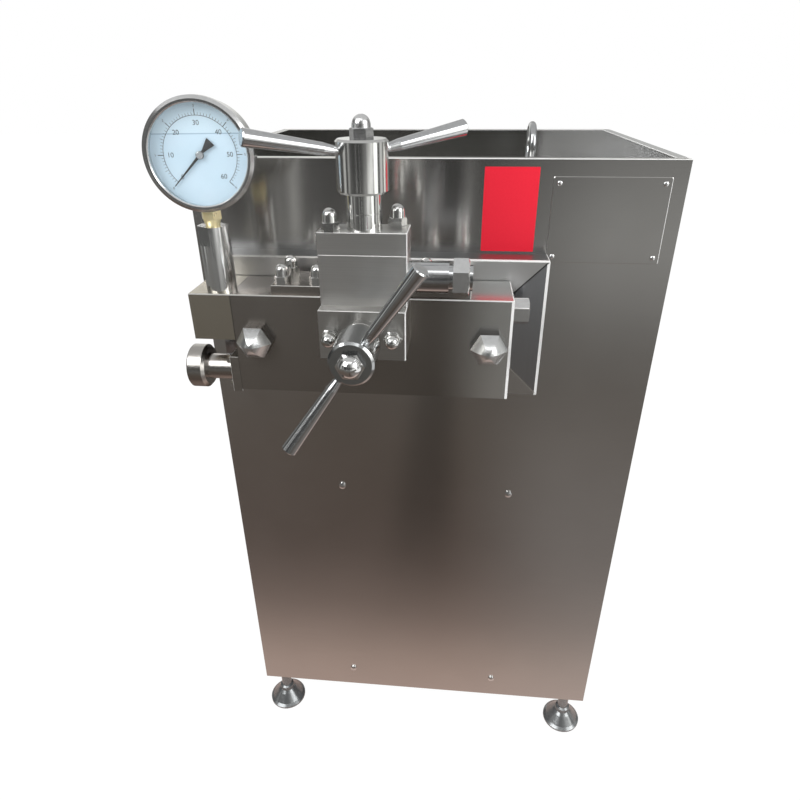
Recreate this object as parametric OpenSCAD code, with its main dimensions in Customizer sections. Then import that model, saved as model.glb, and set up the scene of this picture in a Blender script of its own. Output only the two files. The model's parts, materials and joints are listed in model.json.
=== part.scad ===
// Small dairy homogenizer: a three-plunger pump block with a two-stage
// homogenizing valve, on the front of a stainless cabinet.
// X runs to the right, Y into the machine, Z up. All sizes are millimetres.

/* [Cabinet] */
// Width of the cabinet
cabinet_w = 520; // [500:5:600]
// Depth of the cabinet
cabinet_d = 400; // [390:5:480]
// Height of the cabinet without its feet
cabinet_h = 815; // [805:5:880]
// Thickness of the cabinet sheet
sheet_t = 2; // [1:0.5:3]
// Width of the folded rim round the top
rim_w = 12; // [8:1:16]
// Depth of the recessed top below the rim
tray_depth = 48; // [44:1:56]
// Thickness of the recessed top plate
top_t = 3; // [2:0.5:5]
// Side of the square frame posts
post_s = 40; // [36:1:46]
// Wall of the frame posts
post_wall = 3; // [2:0.5:5]
// Thickness of the base plate
base_t = 8; // [6:1:12]
// Thickness of the shelf under the crankcase
shelf_t = 12; // [8:1:16]
// Half of the distance between the front panel screws
screw_x = 111; // [90:1:130]
// Height of the lower panel screws above the cabinet's bottom edge
screw_low = 37; // [30:1:60]
// Height of the upper panel screws above the cabinet's bottom edge
screw_high = 400; // [300:5:440]
// Shank diameter of the panel screws
screw_d = 4; // [3:0.5:5]
// Head diameter of the panel screws
screw_head_d = 9; // [7:0.5:12]
// Rows of louvres in the rear panel
louvre_rows = 8; // [4:1:10]
// Length of one louvre
louvre_w = 120; // [80:5:140]
// Opening height of one louvre
louvre_h = 7; // [5:1:9]
// Pitch of the louvre rows
louvre_pitch = 22; // [18:1:26]
// Height of the lowest louvre above the cabinet's bottom edge
louvre_low = 150; // [120:5:200]

/* [Feet] */
// Height of the cabinet's bottom edge above the floor
leg_h = 76; // [66:1:90]
// Distance of a foot's axis from the cabinet's sides
foot_inset = 24; // [22:1:26]
// Diameter of the bell-shaped pad
pad_d = 58; // [50:1:70]
// Height of the bell-shaped pad
pad_h = 26; // [20:1:32]
// Diameter of the foot's threaded stem
stem_d = 16; // [12:1:18]
// Width across flats of the foot's lock nut
foot_nut_af = 24; // [22:1:28]
// Thickness of the foot's lock nut
foot_nut_t = 10; // [8:1:14]

/* [Lifting eye] */
// Distance of the eye to the right of the cabinet's middle
eye_x = 117; // [60:1:150]
// Distance of the eye behind the front panel
eye_y = 160; // [120:1:240]
// Height of the eye's top above the rim
eye_rise = 25; // [15:1:32]
// Mean diameter of the ring
eye_d = 44; // [38:1:50]
// Thickness of the ring
eye_wire = 9; // [8:1:12]
// Diameter of the eye's shank
eye_shank = 16; // [12:1:20]

/* [Hood] */
// Width of the frame round the pump
hood_w = 362; // [350:1:380]
// Height of the frame round the pump
hood_h = 156; // [150:1:170]
// How far the frame stands out from the front panel
hood_reach = 29; // [20:1:40]
// Width of the frame's front flange
hood_flange = 34.5; // [30:0.5:38]
// How far the frame's middle lies below the pump line
hood_drop = 3; // [0:1:8]

/* [Pump block] */
// Place of the pump's middle along X, from the cabinet's middle
pump_x = -52; // [-60:1:-40]
// Height of the plunger line above the cabinet's bottom edge
pump_z = 644; // [630:1:660]
// Width of the block
block_w = 283; // [275:1:295]
// Height of the block
block_h = 106; // [100:1:115]
// Thickness of the block from front to back
block_t = 65; // [60:1:75]
// Gap between the block and the frame round it
block_gap = 2; // [1:0.5:6]
// How far the gauge arm stands out to the left
arm_reach = 43; // [40:1:55]
// Height of the gauge arm
arm_h = 49; // [45:1:52]
// Distance between the two big studs
stud_span = 238; // [230:1:244]
// Height of the big studs above the plunger line
stud_rise = 5; // [0:1:6]
// Diameter of the big studs
stud_d = 20; // [16:1:24]
// Width across flats of the big dome nuts
big_nut_af = 32; // [30:1:36]
// Diameter of the plungers
plunger_d = 24; // [18:1:28]
// Distance between two plungers
plunger_pitch = 71; // [66:1:76]
// Length of a plunger
plunger_len = 212; // [205:1:225]
// Stroke of the plungers
stroke = 30; // [20:1:36]
// Outside diameter of a plunger gland
gland_d = 46; // [40:1:60]
// Clearance between a gland and the crankcase's bosses
gland_clear = 1; // [0.5:0.5:3]
// Length of a plunger gland
gland_t = 14; // [10:1:20]
// Diameter of the discharge gallery
discharge_d = 14; // [10:1:18]
// Bore of the inlet pipe
suction_d = 22; // [16:1:24]
// Diameter of the bores under the valve cover
valve_bore = 24; // [18:1:28]
// Thickness of the valve cover
cover_t = 9; // [6:1:14]
// Depth of the valve cover from front to back
cover_d = 52; // [46:1:56]
// Distance between the two rows of cover nuts
cover_rows = 34; // [30:1:38]
// Width across flats of the small dome nuts
acorn_af = 15; // [13:1:16]
// Diameter of the studs under the small dome nuts
acorn_stud = 8; // [6:1:10]
// Width across flats of the end plug
plug_af = 24; // [20:1:28]
// Length of the end plug outside the block
plug_len = 17; // [14:1:24]

/* [Inlet] */
// Drop of the inlet below the plunger line
inlet_drop = 36; // [32:1:38]
// Distance of the inlet's axis behind the block's front
inlet_back = 21; // [21:1:30]
// Side of the square inlet flange
flange_s = 40; // [38:1:42]
// Thickness of the inlet flange
flange_t = 10; // [8:1:14]
// Outside diameter of the inlet pipe
inlet_d = 28; // [26:1:30]
// Visible length of the inlet pipe
inlet_len = 30; // [25:1:45]
// Diameter of the round union nut
union_d = 47; // [44:1:56]
// Width of the round union nut
union_w = 19; // [16:1:28]

/* [Outlet] */
// Height of the outlet above the second valve body's underside
outlet_rise = 23; // [21:1:27]
// Outside diameter of the outlet pipe
outlet_d = 29; // [26:1:30]
// Diameter of the outlet pipe's threaded end in the valve body
outlet_thread = 16; // [14:1:16]
// Bore of the outlet pipe
outlet_bore = 10; // [6:1:11]
// Visible length of the outlet pipe before its groove
outlet_len = 37; // [30:1:50]
// Width of the groove before the outlet nut
outlet_groove = 4; // [2:1:6]
// Width across flats of the outlet nut
outlet_nut_af = 32; // [30:1:36]
// Thickness of the outlet nut
outlet_nut_t = 15; // [10:1:20]
// How far the pipe's end stands out of the outlet nut
outlet_lip = 3; // [2:0.5:5]

/* [Homogenizing valve] */
// Width of both valve bodies and the cap
valve_w = 81; // [78:1:90]
// Length of the first stage body in front of the block
first_t = 51; // [48:1:60]
// Height of the first stage body
first_h = 47; // [44:1:52]
// Height of the first stage axis above the plunger line
first_rise = 33; // [30:1:35]
// Length of the bonnet that shows on the first stage
first_neck = 21; // [15:1:30]
// Depth of the second stage body from front to back
second_t = 38; // [36:1:42]
// Height of the second stage body
second_h = 47; // [44:1:56]
// Distance of the second stage axis in front of the block
second_out = 16; // [15:1:20]
// Height of the second stage cap
cap_h = 20; // [16:1:26]
// Length of the bonnet that shows on the second stage
second_neck = 31; // [20:1:36]
// Distance of the valve nuts from the valve's middle
valve_nut_x = 29; // [27:1:32]
// Offset of the two cap nuts from the cap's middle line
cap_nut_y = 12; // [10:1:12]
// Diameter of the valve chamber
chamber_d = 26; // [22:1:28]
// Diameter of the ports between the stages
port_d = 8; // [5:1:10]
// Thickness of the wall under a valve chamber
chamber_wall = 8; // [6:1:10]
// Thickness of a valve seat
seat_t = 5; // [4:0.5:6]
// Thickness of a valve disc
disc_t = 5; // [4:0.5:6]
// Diameter of a valve disc
disc_d = 20; // [16:1:21]
// Wire thickness of a valve spring
spring_wire = 2.4; // [1.6:0.1:2.6]
// Turns of a valve spring
spring_turns = 4; // [3:1:4]

/* [Handles] */
// Diameter of the bonnet
neck_d = 32; // [29:1:36]
// Diameter of the first stage's hub
first_hub_d = 40; // [38:1:46]
// Diameter of the second stage's hub
second_hub_d = 46; // [42:1:50]
// Height of a handle hub
hub_h = 44; // [42:1:52]
// How far the hub reaches down over the bonnet
hub_lap = 14; // [10:1:16]
// Diameter of the threaded spindle
spindle_d = 16; // [14:1:18]
// Feed of the spindle in one turn
thread_pitch = 2; // [1:0.25:2.5]
// Turns of the handle from slack to tight
handle_turns = 3; // [1:1:3]
// Reach of an arm from the hub's axis
arm_len = 102; // [95:1:104]
// Tilt of the arms out of the hub's plane, in degrees
arm_tilt = 10; // [6:1:14]
// Distance of the arms' root below the hub's top
arm_drop = 9; // [8:1:12]
// Diameter of an arm's root in the hub
arm_root_d = 8; // [6:0.5:9]
// Diameter of an arm where its long taper starts
arm_neck_d = 10.5; // [9:0.5:12]
// Diameter of an arm's outer end
arm_end_d = 14.5; // [12:0.5:17]
// Angle of the first stage's arms, in degrees from level
first_angle = 55; // [0:1:90]
// Angle of the second stage's arms, in degrees from the X axis
second_angle = 32; // [0:1:60]
// Width across flats of the first stage's low dome nut
first_dome_af = 22; // [20:1:24]
// Width across flats of the second stage's dome nut
second_dome_af = 18; // [18:1:21]

/* [Gauge] */
// Distance of the gauge's axis from the arm's left end
gauge_inset = 29; // [24:1:30]
// Distance of the gauge's axis behind the block's front
gauge_back = 19; // [18:1:26]
// Diameter of the steel gauge stem
gauge_stem_d = 30; // [26:1:34]
// Height of the steel gauge stem
gauge_stem_h = 64; // [56:1:72]
// Height of the brass neck
gauge_neck_h = 18; // [16:1:26]
// Width across flats of the brass neck
gauge_neck_af = 17; // [15:1:20]
// Turn of the gauge on its stem, in degrees
gauge_turn = 8; // [0:1:12]
// Outside diameter of the gauge case
gauge_case_d = 94; // [90:1:96]
// Depth of the gauge case
gauge_case_t = 36; // [32:1:44]
// Width of the bezel over the case
bezel_over = 3; // [2:0.5:4]
// Width of the bezel's lip over the glass
bezel_lip = 3; // [2:0.5:4]
// Thickness of the gauge glass
glass_t = 2.5; // [2:0.5:4]
// Reach of the needle from its pivot
needle_len = 38; // [30:1:40]

/* [Drive] */
// Width of the crankcase
case_w = 250; // [240:1:262]
// Radius of the crankcase barrel
case_r = 95; // [90:1:97]
// Distance of the crank axis behind the front panel
crank_y = 212; // [206:1:220]
// Distance of the crankcase's front behind the front panel
case_front = 90; // [84:1:96]
// Diameter of the crank's input shaft
shaft_d = 40; // [30:1:44]
// Place of the belts along X, from the cabinet's middle
belt_x = 168; // [160:1:176]
// Diameter of the driven pulley
driven_d = 180; // [160:1:184]
// Diameter of the motor pulley
motor_pulley_d = 90; // [80:1:110]
// Width of the pulleys
pulley_w = 44; // [40:1:50]
// Height of the motor shaft above the base plate
motor_rise = 112; // [108:1:132]
// Diameter of the motor's finned barrel
motor_d = 190; // [170:1:200]
// Length of the motor without its shaft
motor_len = 290; // [250:1:300]
// Diameter of the motor shaft
motor_shaft = 28; // [24:1:38]
// Width of a drive belt
belt_w = 10; // [8:1:13]
// Thickness of a drive belt
belt_t = 8; // [6:1:9]

/* [Hidden] */
$fn = 72;
// Radial clearance of pieces that fit in each other
fit = 0.05;
// Small gap between faces of bodies that move past each other
running_gap = 0.3;
// Longer than a wall, for cuts that pass through
through = 1;

// Heights above the floor
z_base = leg_h;
z_rim = leg_h + cabinet_h;
z_top = z_rim - tray_depth;
z_pump = leg_h + pump_z;
z_block_top = z_pump + block_h / 2;
z_block_low = z_pump - block_h / 2;
z_stud = z_pump + stud_rise;
z_inlet = z_pump - inlet_drop;
z_first = z_pump + first_rise;
z_second = z_first + first_h / 2;
z_cap = z_second + second_h;
z_second_face = z_cap + cap_h;
z_outlet = z_second + outlet_rise;
z_hood = z_pump - hood_drop;
z_shelf = z_pump - case_r;
z_motor = z_base + base_t + motor_rise;

// Places from front to back
block_back = -(hood_reach + block_gap);
block_front = block_back - block_t;
first_face = block_front - first_t;
second_y = block_front - second_out;
cover_y = block_front + (block_t - cover_d) / 2 - 3 + cover_d / 2;
gallery_y = cover_y;
inlet_y = block_front + inlet_back;
gauge_y = block_front + gauge_back;

// Places from left to right
inside_x = cabinet_w / 2 - sheet_t;
block_left = pump_x - block_w / 2;
block_right = pump_x + block_w / 2;
gauge_x = block_left - arm_reach + gauge_inset;
union_left = block_left - flange_t - inlet_len - union_w;
outlet_face = pump_x + valve_w / 2;

// Window behind the block, shared by the front panel and the frame round it
window_w = hood_w - 2 * hood_flange;
window_h = hood_h - 2 * hood_flange;

// Valve train, measured along a stage's axis from the bonnet's seat
feed = thread_pitch * handle_turns;
spigot = 8;
rod_flange_t = 3;
rod_flange_d = chamber_d - 4;
rod_top = 4;
hub_recess = hub_lap + feed + 1;
first_nut = [first_dome_af, 0.23 * first_dome_af, 0.36 * first_dome_af];
second_nut = [second_dome_af, 0.47 * second_dome_af, 0.58 * second_dome_af];
dome_stud = 12;
arm_edge = 1;
arm_end = arm_len / cos(arm_tilt);
first_depth = first_t - chamber_wall;
second_depth = cap_h + second_h - chamber_wall;
big_hex_h = 0.3 * big_nut_af;
big_dome_h = 0.52 * big_nut_af;
acorn_hex_h = 0.54 * acorn_af;
acorn_dome_h = 0.78 * acorn_af;
stud_hold = 2.25 * acorn_stud;

// Gauge, measured from the stem's axis towards the viewer
case_back = -gauge_case_t / 2 - 5;
case_rim = case_back + gauge_case_t;
case_wall = 2;
dial_seat = case_rim - 6;
dial_t = 1;
bezel_front = case_rim + glass_t + 3;
z_gauge = z_block_top + gauge_stem_h + gauge_neck_h + gauge_case_d / 2;
needle_rest = 225;
pivot_d = 2.4;

// Belt drive
groove_depth = 10;
groove_pitch = 20;
groove_gap = 0.3;
crank_z = z_pump;
motor_right = belt_x - 1.2 * pulley_w;
shaft_hold = 2.4 * motor_shaft;

// Height of the arms' axes at the hub's axis
function arm_root(d) = hub_h - arm_drop - d / 2 * tan(arm_tilt);

// Whole object's box, so that the origin lies under its middle
pad_over = max(0, pad_d / 2 - foot_inset);
x_low = min(union_left, -cabinet_w / 2 - pad_over);
x_high = cabinet_w / 2 + pad_over;
nut_top = hub_h + first_nut[1] + first_nut[2];
arm_top = arm_root(first_hub_d) + (arm_end - arm_edge) * sin(arm_tilt) + arm_end_d / 2 * cos(arm_tilt);
y_low = first_face - first_neck - max(nut_top, arm_top);
y_high = cabinet_d + pad_over;
middle = [(x_low + x_high) / 2, (y_low + y_high) / 2, 0];

// Directions: local Z turned along an axis
module into_machine() { rotate([-90, 0, 0]) children(); }
module to_viewer() { rotate([90, 0, 0]) children(); }
module to_right() { rotate([0, 90, 0]) children(); }
module to_left() { rotate([0, -90, 0]) children(); }

// The origin lies on the floor under the middle of the whole box
module placed() { translate(-middle) children(); }

// A box given by its lowest and highest corners
module span(low, high) { translate(low) cube(high - low); }

// Frames of the two valve stages: local Z runs outwards from the bonnet's seat
module at_first() { translate([pump_x, first_face, z_first]) to_viewer() children(); }
module at_second() { translate([pump_x, second_y, z_second_face]) children(); }

// Frame of the gauge: local Z runs towards the viewer
module at_gauge() { translate([gauge_x, gauge_y, z_gauge]) rotate([0, 0, gauge_turn]) to_viewer() children(); }

// Repeats a child at the four feet
module at_feet() {
    for (x = [-1, 1], y = [foot_inset, cabinet_d - foot_inset])
        translate([x * (cabinet_w / 2 - foot_inset), y, 0]) children();
}

// Repeats a child at the nuts of the valve cover
module at_cover_nuts() {
    for (column = [-2.5:1:2.5], row = [-0.5, 0.5])
        translate([pump_x + column * plunger_pitch / 2, cover_y + row * cover_rows, z_block_top]) children();
}

// Repeats a child at the three plungers' X places
module at_plungers() {
    for (i = [-1:1:1]) translate([pump_x + i * plunger_pitch, 0, 0]) children();
}

// Repeats a child on the bolts of the inlet flange, local Z pointing left
module at_inlet_bolts() {
    for (y = [-1, 1], z = [-1, 1])
        translate([block_left - flange_t, inlet_y + y * (flange_s / 2 - 5.5), z_inlet + z * (flange_s / 2 - 5.5)])
            to_left() children();
}

// Hexagon with its upper corners turned off
module hex_prism(af, height) {
    intersection() {
        cylinder(h = height, d = af / cos(30), $fn = 6);
        cylinder(h = height, r1 = 0.48 * af + 2 * height, r2 = 0.48 * af);
    }
}

// Dome nut with a blind hole; local Z runs up to the dome
module dome_nut(af, hex_h, round_h, hole_d) {
    base_r = 0.465 * af;
    crown_r = 0.44 * af;
    crown_step = 0.15;
    crown_h = min(0.4 * af, 0.8 * round_h);
    barrel_h = round_h - crown_h;
    ball_r = (crown_r * crown_r + crown_h * crown_h) / (2 * crown_h);
    difference() {
        union() {
            hex_prism(af, hex_h);
            translate([0, 0, hex_h - 1]) cylinder(h = barrel_h + 1, r1 = base_r, r2 = crown_r + crown_step);
            translate([0, 0, hex_h + barrel_h]) intersection() {
                translate([0, 0, crown_h - ball_r]) sphere(ball_r);
                cylinder(h = crown_h + through, r = af);
            }
        }
        translate([0, 0, -through]) cylinder(h = hex_h + through + 2, d = hole_d + 2 * fit);
    }
}

// Dome nut on its stud; the stud ends at the given depth under the nut
module nut_on_stud(depth) {
    dome_nut(acorn_af, acorn_hex_h, acorn_dome_h, acorn_stud);
    translate([0, 0, -depth]) cylinder(h = depth + acorn_hex_h + 1, d = acorn_stud);
}

// Round wire wound in a helix, standing on z = 0
function helix_point(i, j, rings, sides, mean_r, wire_r, rise, turns) =
    let (a = 360 * turns * i / rings, b = 360 * j / sides)
    [(mean_r + wire_r * cos(b)) * cos(a), (mean_r + wire_r * cos(b)) * sin(a),
     wire_r + rise * i / rings + wire_r * sin(b)];

module coil_spring(mean_r, wire_r, length, turns) {
    sides = 8;
    rings = 14 * turns;
    rise = length - 2 * wire_r;
    points = [for (i = [0:rings], j = [0:sides - 1]) helix_point(i, j, rings, sides, mean_r, wire_r, rise, turns)];
    skin = [for (i = [0:rings - 1], j = [0:sides - 1])
        [i * sides + j, i * sides + (j + 1) % sides, (i + 1) * sides + (j + 1) % sides, (i + 1) * sides + j]];
    first_cap = [for (j = [sides - 1:-1:0]) j];
    last_cap = [for (j = [0:sides - 1]) rings * sides + j];
    polyhedron(points = points, faces = concat([first_cap], [for (f = skin) [f[3], f[2], f[1], f[0]]], [last_cap]));
}

// One cabinet sheet standing along X, with its top edge folded inwards
module end_sheet() {
    span([-cabinet_w / 2, 0, z_base], [cabinet_w / 2, sheet_t, z_rim]);
    span([-inside_x, 0, z_rim - sheet_t], [inside_x, rim_w, z_rim]);
}

// One cabinet side sheet at the left, with its top edge folded inwards
module side_sheet() {
    span([-cabinet_w / 2, sheet_t, z_base], [-inside_x, cabinet_d - sheet_t, z_rim]);
    span([-cabinet_w / 2, rim_w, z_rim - sheet_t], [rim_w - cabinet_w / 2, cabinet_d - rim_w, z_rim]);
}

module base_plate() {
    color("dimgray") difference() {
        span([-inside_x, sheet_t, z_base], [inside_x, cabinet_d - sheet_t, z_base + base_t]);
        at_feet() translate([0, 0, z_base - through]) cylinder(h = base_t + 2 * through, d = stem_d + 2 * fit);
    }
}

module frame_posts() {
    post_top = z_top - top_t;
    color("dimgray")
        for (x = [-inside_x, inside_x - post_s], y = [sheet_t, cabinet_d - sheet_t - post_s])
            difference() {
                span([x, y, z_base + base_t], [x + post_s, y + post_s, post_top]);
                span([x + post_wall, y + post_wall, z_base],
                    [x + post_s - post_wall, y + post_s - post_wall, post_top + through]);
            }
}

module shelf_plate() {
    slot_x = pulley_w / 2 + 10;
    slot_y = driven_d / 2 + 12;
    color("dimgray") difference() {
        span([-inside_x, sheet_t + post_s, z_shelf - shelf_t],
            [inside_x, cabinet_d - sheet_t - post_s, z_shelf]);
        span([belt_x - slot_x, crank_y - slot_y, z_shelf - shelf_t - through],
            [belt_x + slot_x, crank_y + slot_y, z_shelf + through]);
    }
}

module front_panel() {
    color("silver") difference() {
        end_sheet();
        translate([pump_x - window_w / 2, -through, z_hood - window_h / 2])
            cube([window_w, sheet_t + 2 * through, window_h]);
        panel_screw_places() cylinder(h = 2 * sheet_t + 2 * through, d = screw_d + 2 * fit, center = true);
    }
}

module left_panel() { color("silver") side_sheet(); }

module right_panel() { color("silver") mirror([1, 0, 0]) side_sheet(); }

module rear_panel() {
    color("silver") difference() {
        translate([0, cabinet_d, 0]) mirror([0, 1, 0]) end_sheet();
        for (x = [-1, 1], row = [0:louvre_rows - 1])
            translate([x * (louvre_w / 2 + 15) - louvre_w / 2, cabinet_d - sheet_t - through,
                z_base + louvre_low + row * louvre_pitch])
                cube([louvre_w, sheet_t + 2 * through, louvre_h]);
    }
}

module top_plate() {
    color("silver") difference() {
        span([-inside_x, sheet_t, z_top - top_t], [inside_x, cabinet_d - sheet_t, z_top]);
        translate([eye_x, eye_y, z_top - top_t - through])
            cylinder(h = top_t + 2 * through, d = eye_shank + 2 * fit);
    }
}

// Eye bolt through the recessed top, with its nut underneath
module lifting_eye() {
    collar_h = 6;
    nut_t = 13;
    ring_z = z_rim + eye_rise - eye_d / 2 - eye_wire / 2;
    ring_low = ring_z - eye_d / 2;
    color("lightgray") translate([eye_x, eye_y, 0]) {
        translate([0, 0, ring_z]) to_right() rotate_extrude() translate([eye_d / 2, 0]) circle(d = eye_wire);
        translate([0, 0, z_top]) cylinder(h = collar_h, d = 2.2 * eye_shank);
        translate([0, 0, z_top + collar_h]) cylinder(h = ring_low - z_top - collar_h, d1 = 1.5 * eye_shank, d2 = eye_wire);
        translate([0, 0, z_top - top_t - nut_t - 3]) cylinder(h = top_t + nut_t + 4, d = eye_shank);
        translate([0, 0, z_top - top_t - nut_t]) difference() {
            cylinder(h = nut_t, d = 1.5 * eye_shank / cos(30), $fn = 6);
            translate([0, 0, -through]) cylinder(h = nut_t + 2 * through, d = eye_shank + 2 * fit);
        }
    }
}

// Folded sheet frame round the pump, open at the back, with a window in front
module hood_frame() {
    low = [pump_x - hood_w / 2, -hood_reach, z_hood - hood_h / 2];
    high = [pump_x + hood_w / 2, 0, z_hood + hood_h / 2];
    wall = [sheet_t, sheet_t, sheet_t];
    color("silver") difference() {
        span(low, high);
        span(low + wall, [high[0] - sheet_t, through, high[2] - sheet_t]);
        translate([pump_x - window_w / 2, -hood_reach - through, z_hood - window_h / 2])
            cube([window_w, hood_reach, window_h]);
    }
}

module panel_screw_places() {
    for (x = [-screw_x, screw_x], z = [screw_low, screw_high])
        translate([x, 0, z_base + z]) to_viewer() children();
}

module panel_screws() {
    head_h = 3;
    color("lightgray") panel_screw_places() {
        translate([0, 0, -sheet_t - 8]) cylinder(h = sheet_t + 8 + head_h / 2, d = screw_d);
        intersection() {
            translate([0, 0, head_h - screw_head_d]) sphere(screw_head_d);
            cylinder(h = head_h, d = screw_head_d);
        }
    }
}

// Bell-shaped levelling feet, each turned from one bar with its threaded stem
module feet() {
    foot_top = z_base + base_t + 22;
    collar_r = stem_d / 2 + 3;
    color("lightgray") at_feet() rotate_extrude() polygon([
        [0, 0], [pad_d / 2 - 1, 0], [pad_d / 2, 1], [pad_d / 2, 4], [pad_d / 2 - 4, 7],
        [collar_r + 4, pad_h - 7], [collar_r, pad_h - 3], [collar_r, pad_h + 4], [stem_d / 2, pad_h + 6],
        [stem_d / 2, foot_top - 1], [stem_d / 2 - 1, foot_top], [0, foot_top]]);
}

module foot_nuts() {
    color("lightgray") at_feet() translate([0, 0, z_base]) mirror([0, 0, 1]) difference() {
        hex_prism(foot_nut_af, foot_nut_t);
        translate([0, 0, -through]) cylinder(h = foot_nut_t + 2 * through, d = stem_d + 2 * fit);
    }
}

// Forged block with plunger bores, valve bores and the two galleries
module pump_block() {
    plunger_end = block_front + 12;
    gallery_end = pump_x + plunger_pitch + valve_bore / 2;
    color("slategray") difference() {
        union() {
            span([block_left, block_front, z_block_low], [block_right, block_back, z_block_top]);
            span([block_left - arm_reach, block_front, z_block_top - arm_h], [block_left + 1, block_back, z_block_top]);
        }
        at_plungers() {
            translate([0, plunger_end, z_pump]) into_machine()
                cylinder(h = block_back - plunger_end + through, d = plunger_d + 1);
            translate([0, cover_y, z_pump]) cylinder(h = z_block_top - z_pump + through, d = valve_bore);
            translate([0, cover_y, z_inlet]) cylinder(h = inlet_drop, d = valve_bore - 8);
        }
        translate([gauge_x, gallery_y, z_first]) to_right() cylinder(h = block_right - gauge_x - 1, d = discharge_d);
        translate([block_left - through, inlet_y, z_inlet]) to_right()
            cylinder(h = gallery_end - block_left + through, d = suction_d - 2);
        translate([block_right - 16, gallery_y, z_first]) to_right() cylinder(h = 17, d = 0.75 * plug_af + 2 * fit);
        translate([pump_x, block_front - through, z_first]) into_machine()
            cylinder(h = gallery_y - block_front + through, d = port_d);
        translate([gauge_x, gauge_y, z_first]) cylinder(h = first_rise, d = port_d);
        translate([gauge_x, gauge_y, z_block_top - 12]) cylinder(h = 13, d = gauge_stem_d / 2 + 2 * fit);
        big_studs() cylinder(h = block_t + 2 * through, d = stud_d + 2 * fit);
        at_cover_nuts() translate([0, 0, -stud_hold - 1]) cylinder(h = stud_hold + 2, d = acorn_stud + 2 * fit);
        first_nut_places() translate([0, 0, -first_t - stud_hold - 1])
            cylinder(h = stud_hold + 2, d = acorn_stud + 2 * fit);
        at_inlet_bolts() translate([0, 0, -flange_t - 13]) cylinder(h = 14, d = 5 + 2 * fit);
    }
}

// Axes of the two big studs, starting just in front of the block
module big_studs() {
    for (x = [-1, 1])
        translate([pump_x + x * stud_span / 2, block_front - through, z_stud]) into_machine() children();
}

module block_studs() {
    color("lightgray") big_studs() translate([0, 0, through - big_hex_h + 2])
        cylinder(h = big_hex_h - 2 + block_t + 40, d = stud_d);
}

module block_nuts() {
    color("lightgray") big_studs() translate([0, 0, through]) mirror([0, 0, 1])
        dome_nut(big_nut_af, big_hex_h, big_dome_h, stud_d);
}

module end_plug() {
    color("lightgray") translate([block_right, gallery_y, z_first]) to_right() {
        translate([0, 0, -14]) cylinder(h = 15, d = 0.75 * plug_af);
        hex_prism(plug_af, plug_len);
    }
}

module cover_plate() {
    cover_w = 5 * plunger_pitch / 2 + acorn_af + 6;
    color("slategray") difference() {
        span([pump_x - cover_w / 2, cover_y - cover_d / 2, z_block_top],
            [pump_x + cover_w / 2, cover_y + cover_d / 2, z_block_top + cover_t]);
        at_cover_nuts() translate([0, 0, -through]) cylinder(h = cover_t + 2 * through, d = acorn_stud + 2 * fit);
    }
}

module cover_nuts() {
    color("lightgray") at_cover_nuts() translate([0, 0, cover_t]) nut_on_stud(cover_t + stud_hold);
}

// Square flange with its pipe welded on
module inlet_flange() {
    color("lightgray") difference() {
        union() {
            translate([block_left - flange_t, inlet_y - flange_s / 2, z_inlet - flange_s / 2])
                cube([flange_t, flange_s, flange_s]);
            translate([block_left - flange_t / 2, inlet_y, z_inlet]) to_left()
                cylinder(h = flange_t / 2 + inlet_len + union_w - 6, d = inlet_d);
        }
        translate([block_left + through, inlet_y, z_inlet]) to_left()
            cylinder(h = flange_t + inlet_len + union_w + 2 * through, d = suction_d);
        at_inlet_bolts() translate([0, 0, -flange_t - through]) cylinder(h = flange_t + 2 * through, d = 5 + 2 * fit);
    }
}

// Round union nut on the inlet pipe, with a recess for the joint ring
module inlet_union() {
    edge = 1.5;
    color("lightgray") translate([union_left + union_w, inlet_y, z_inlet]) to_left() rotate_extrude() polygon([
        [inlet_d / 2 + fit, 0], [union_d / 2 - 2 * edge, 0], [union_d / 2, 2 * edge], [union_d / 2, union_w - edge],
        [union_d / 2 - edge, union_w], [union_d / 2 - 6, union_w], [union_d / 2 - 6, union_w - 8],
        [inlet_d / 2 + fit, union_w - 8]]);
}

module inlet_bolts() {
    color("lightgray") at_inlet_bolts() {
        translate([0, 0, -flange_t - 12]) cylinder(h = flange_t + 13, d = 5);
        hex_prism(8, 4);
    }
}

// Steel adapter under the gauge, with two wrench flats near its top
module gauge_stem() {
    flat = 0.82 * gauge_stem_d;
    color("lightgray") translate([gauge_x, gauge_y, z_block_top]) difference() {
        union() {
            cylinder(h = gauge_stem_h, d = gauge_stem_d);
            translate([0, 0, -11]) cylinder(h = 12, d = gauge_stem_d / 2);
        }
        translate([0, 0, -12]) cylinder(h = gauge_stem_h + 13, d = port_d);
        translate([0, 0, gauge_stem_h - 12]) cylinder(h = 13, d = 12 + 2 * fit);
        for (side = [0, 180]) rotate([0, 0, side + 58]) translate([flat / 2, -gauge_stem_d, gauge_stem_h - 18])
            cube([gauge_stem_d, 2 * gauge_stem_d, 20]);
    }
}

module gauge_neck() {
    waist = 6;
    hex_top = gauge_neck_h - bezel_over - running_gap;
    color("goldenrod") translate([gauge_x, gauge_y, z_block_top + gauge_stem_h]) difference() {
        union() {
            translate([0, 0, -10]) cylinder(h = 11, d = 12);
            cylinder(h = waist, d1 = 0.8 * gauge_neck_af, d2 = gauge_neck_af);
            translate([0, 0, waist]) hex_prism(gauge_neck_af, hex_top - waist);
            translate([0, 0, hex_top - 1]) cylinder(h = gauge_neck_h - hex_top + 7, d = 12);
        }
        translate([0, 0, -10 - through]) cylinder(h = gauge_neck_h + 10, d = 4);
    }
}

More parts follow.
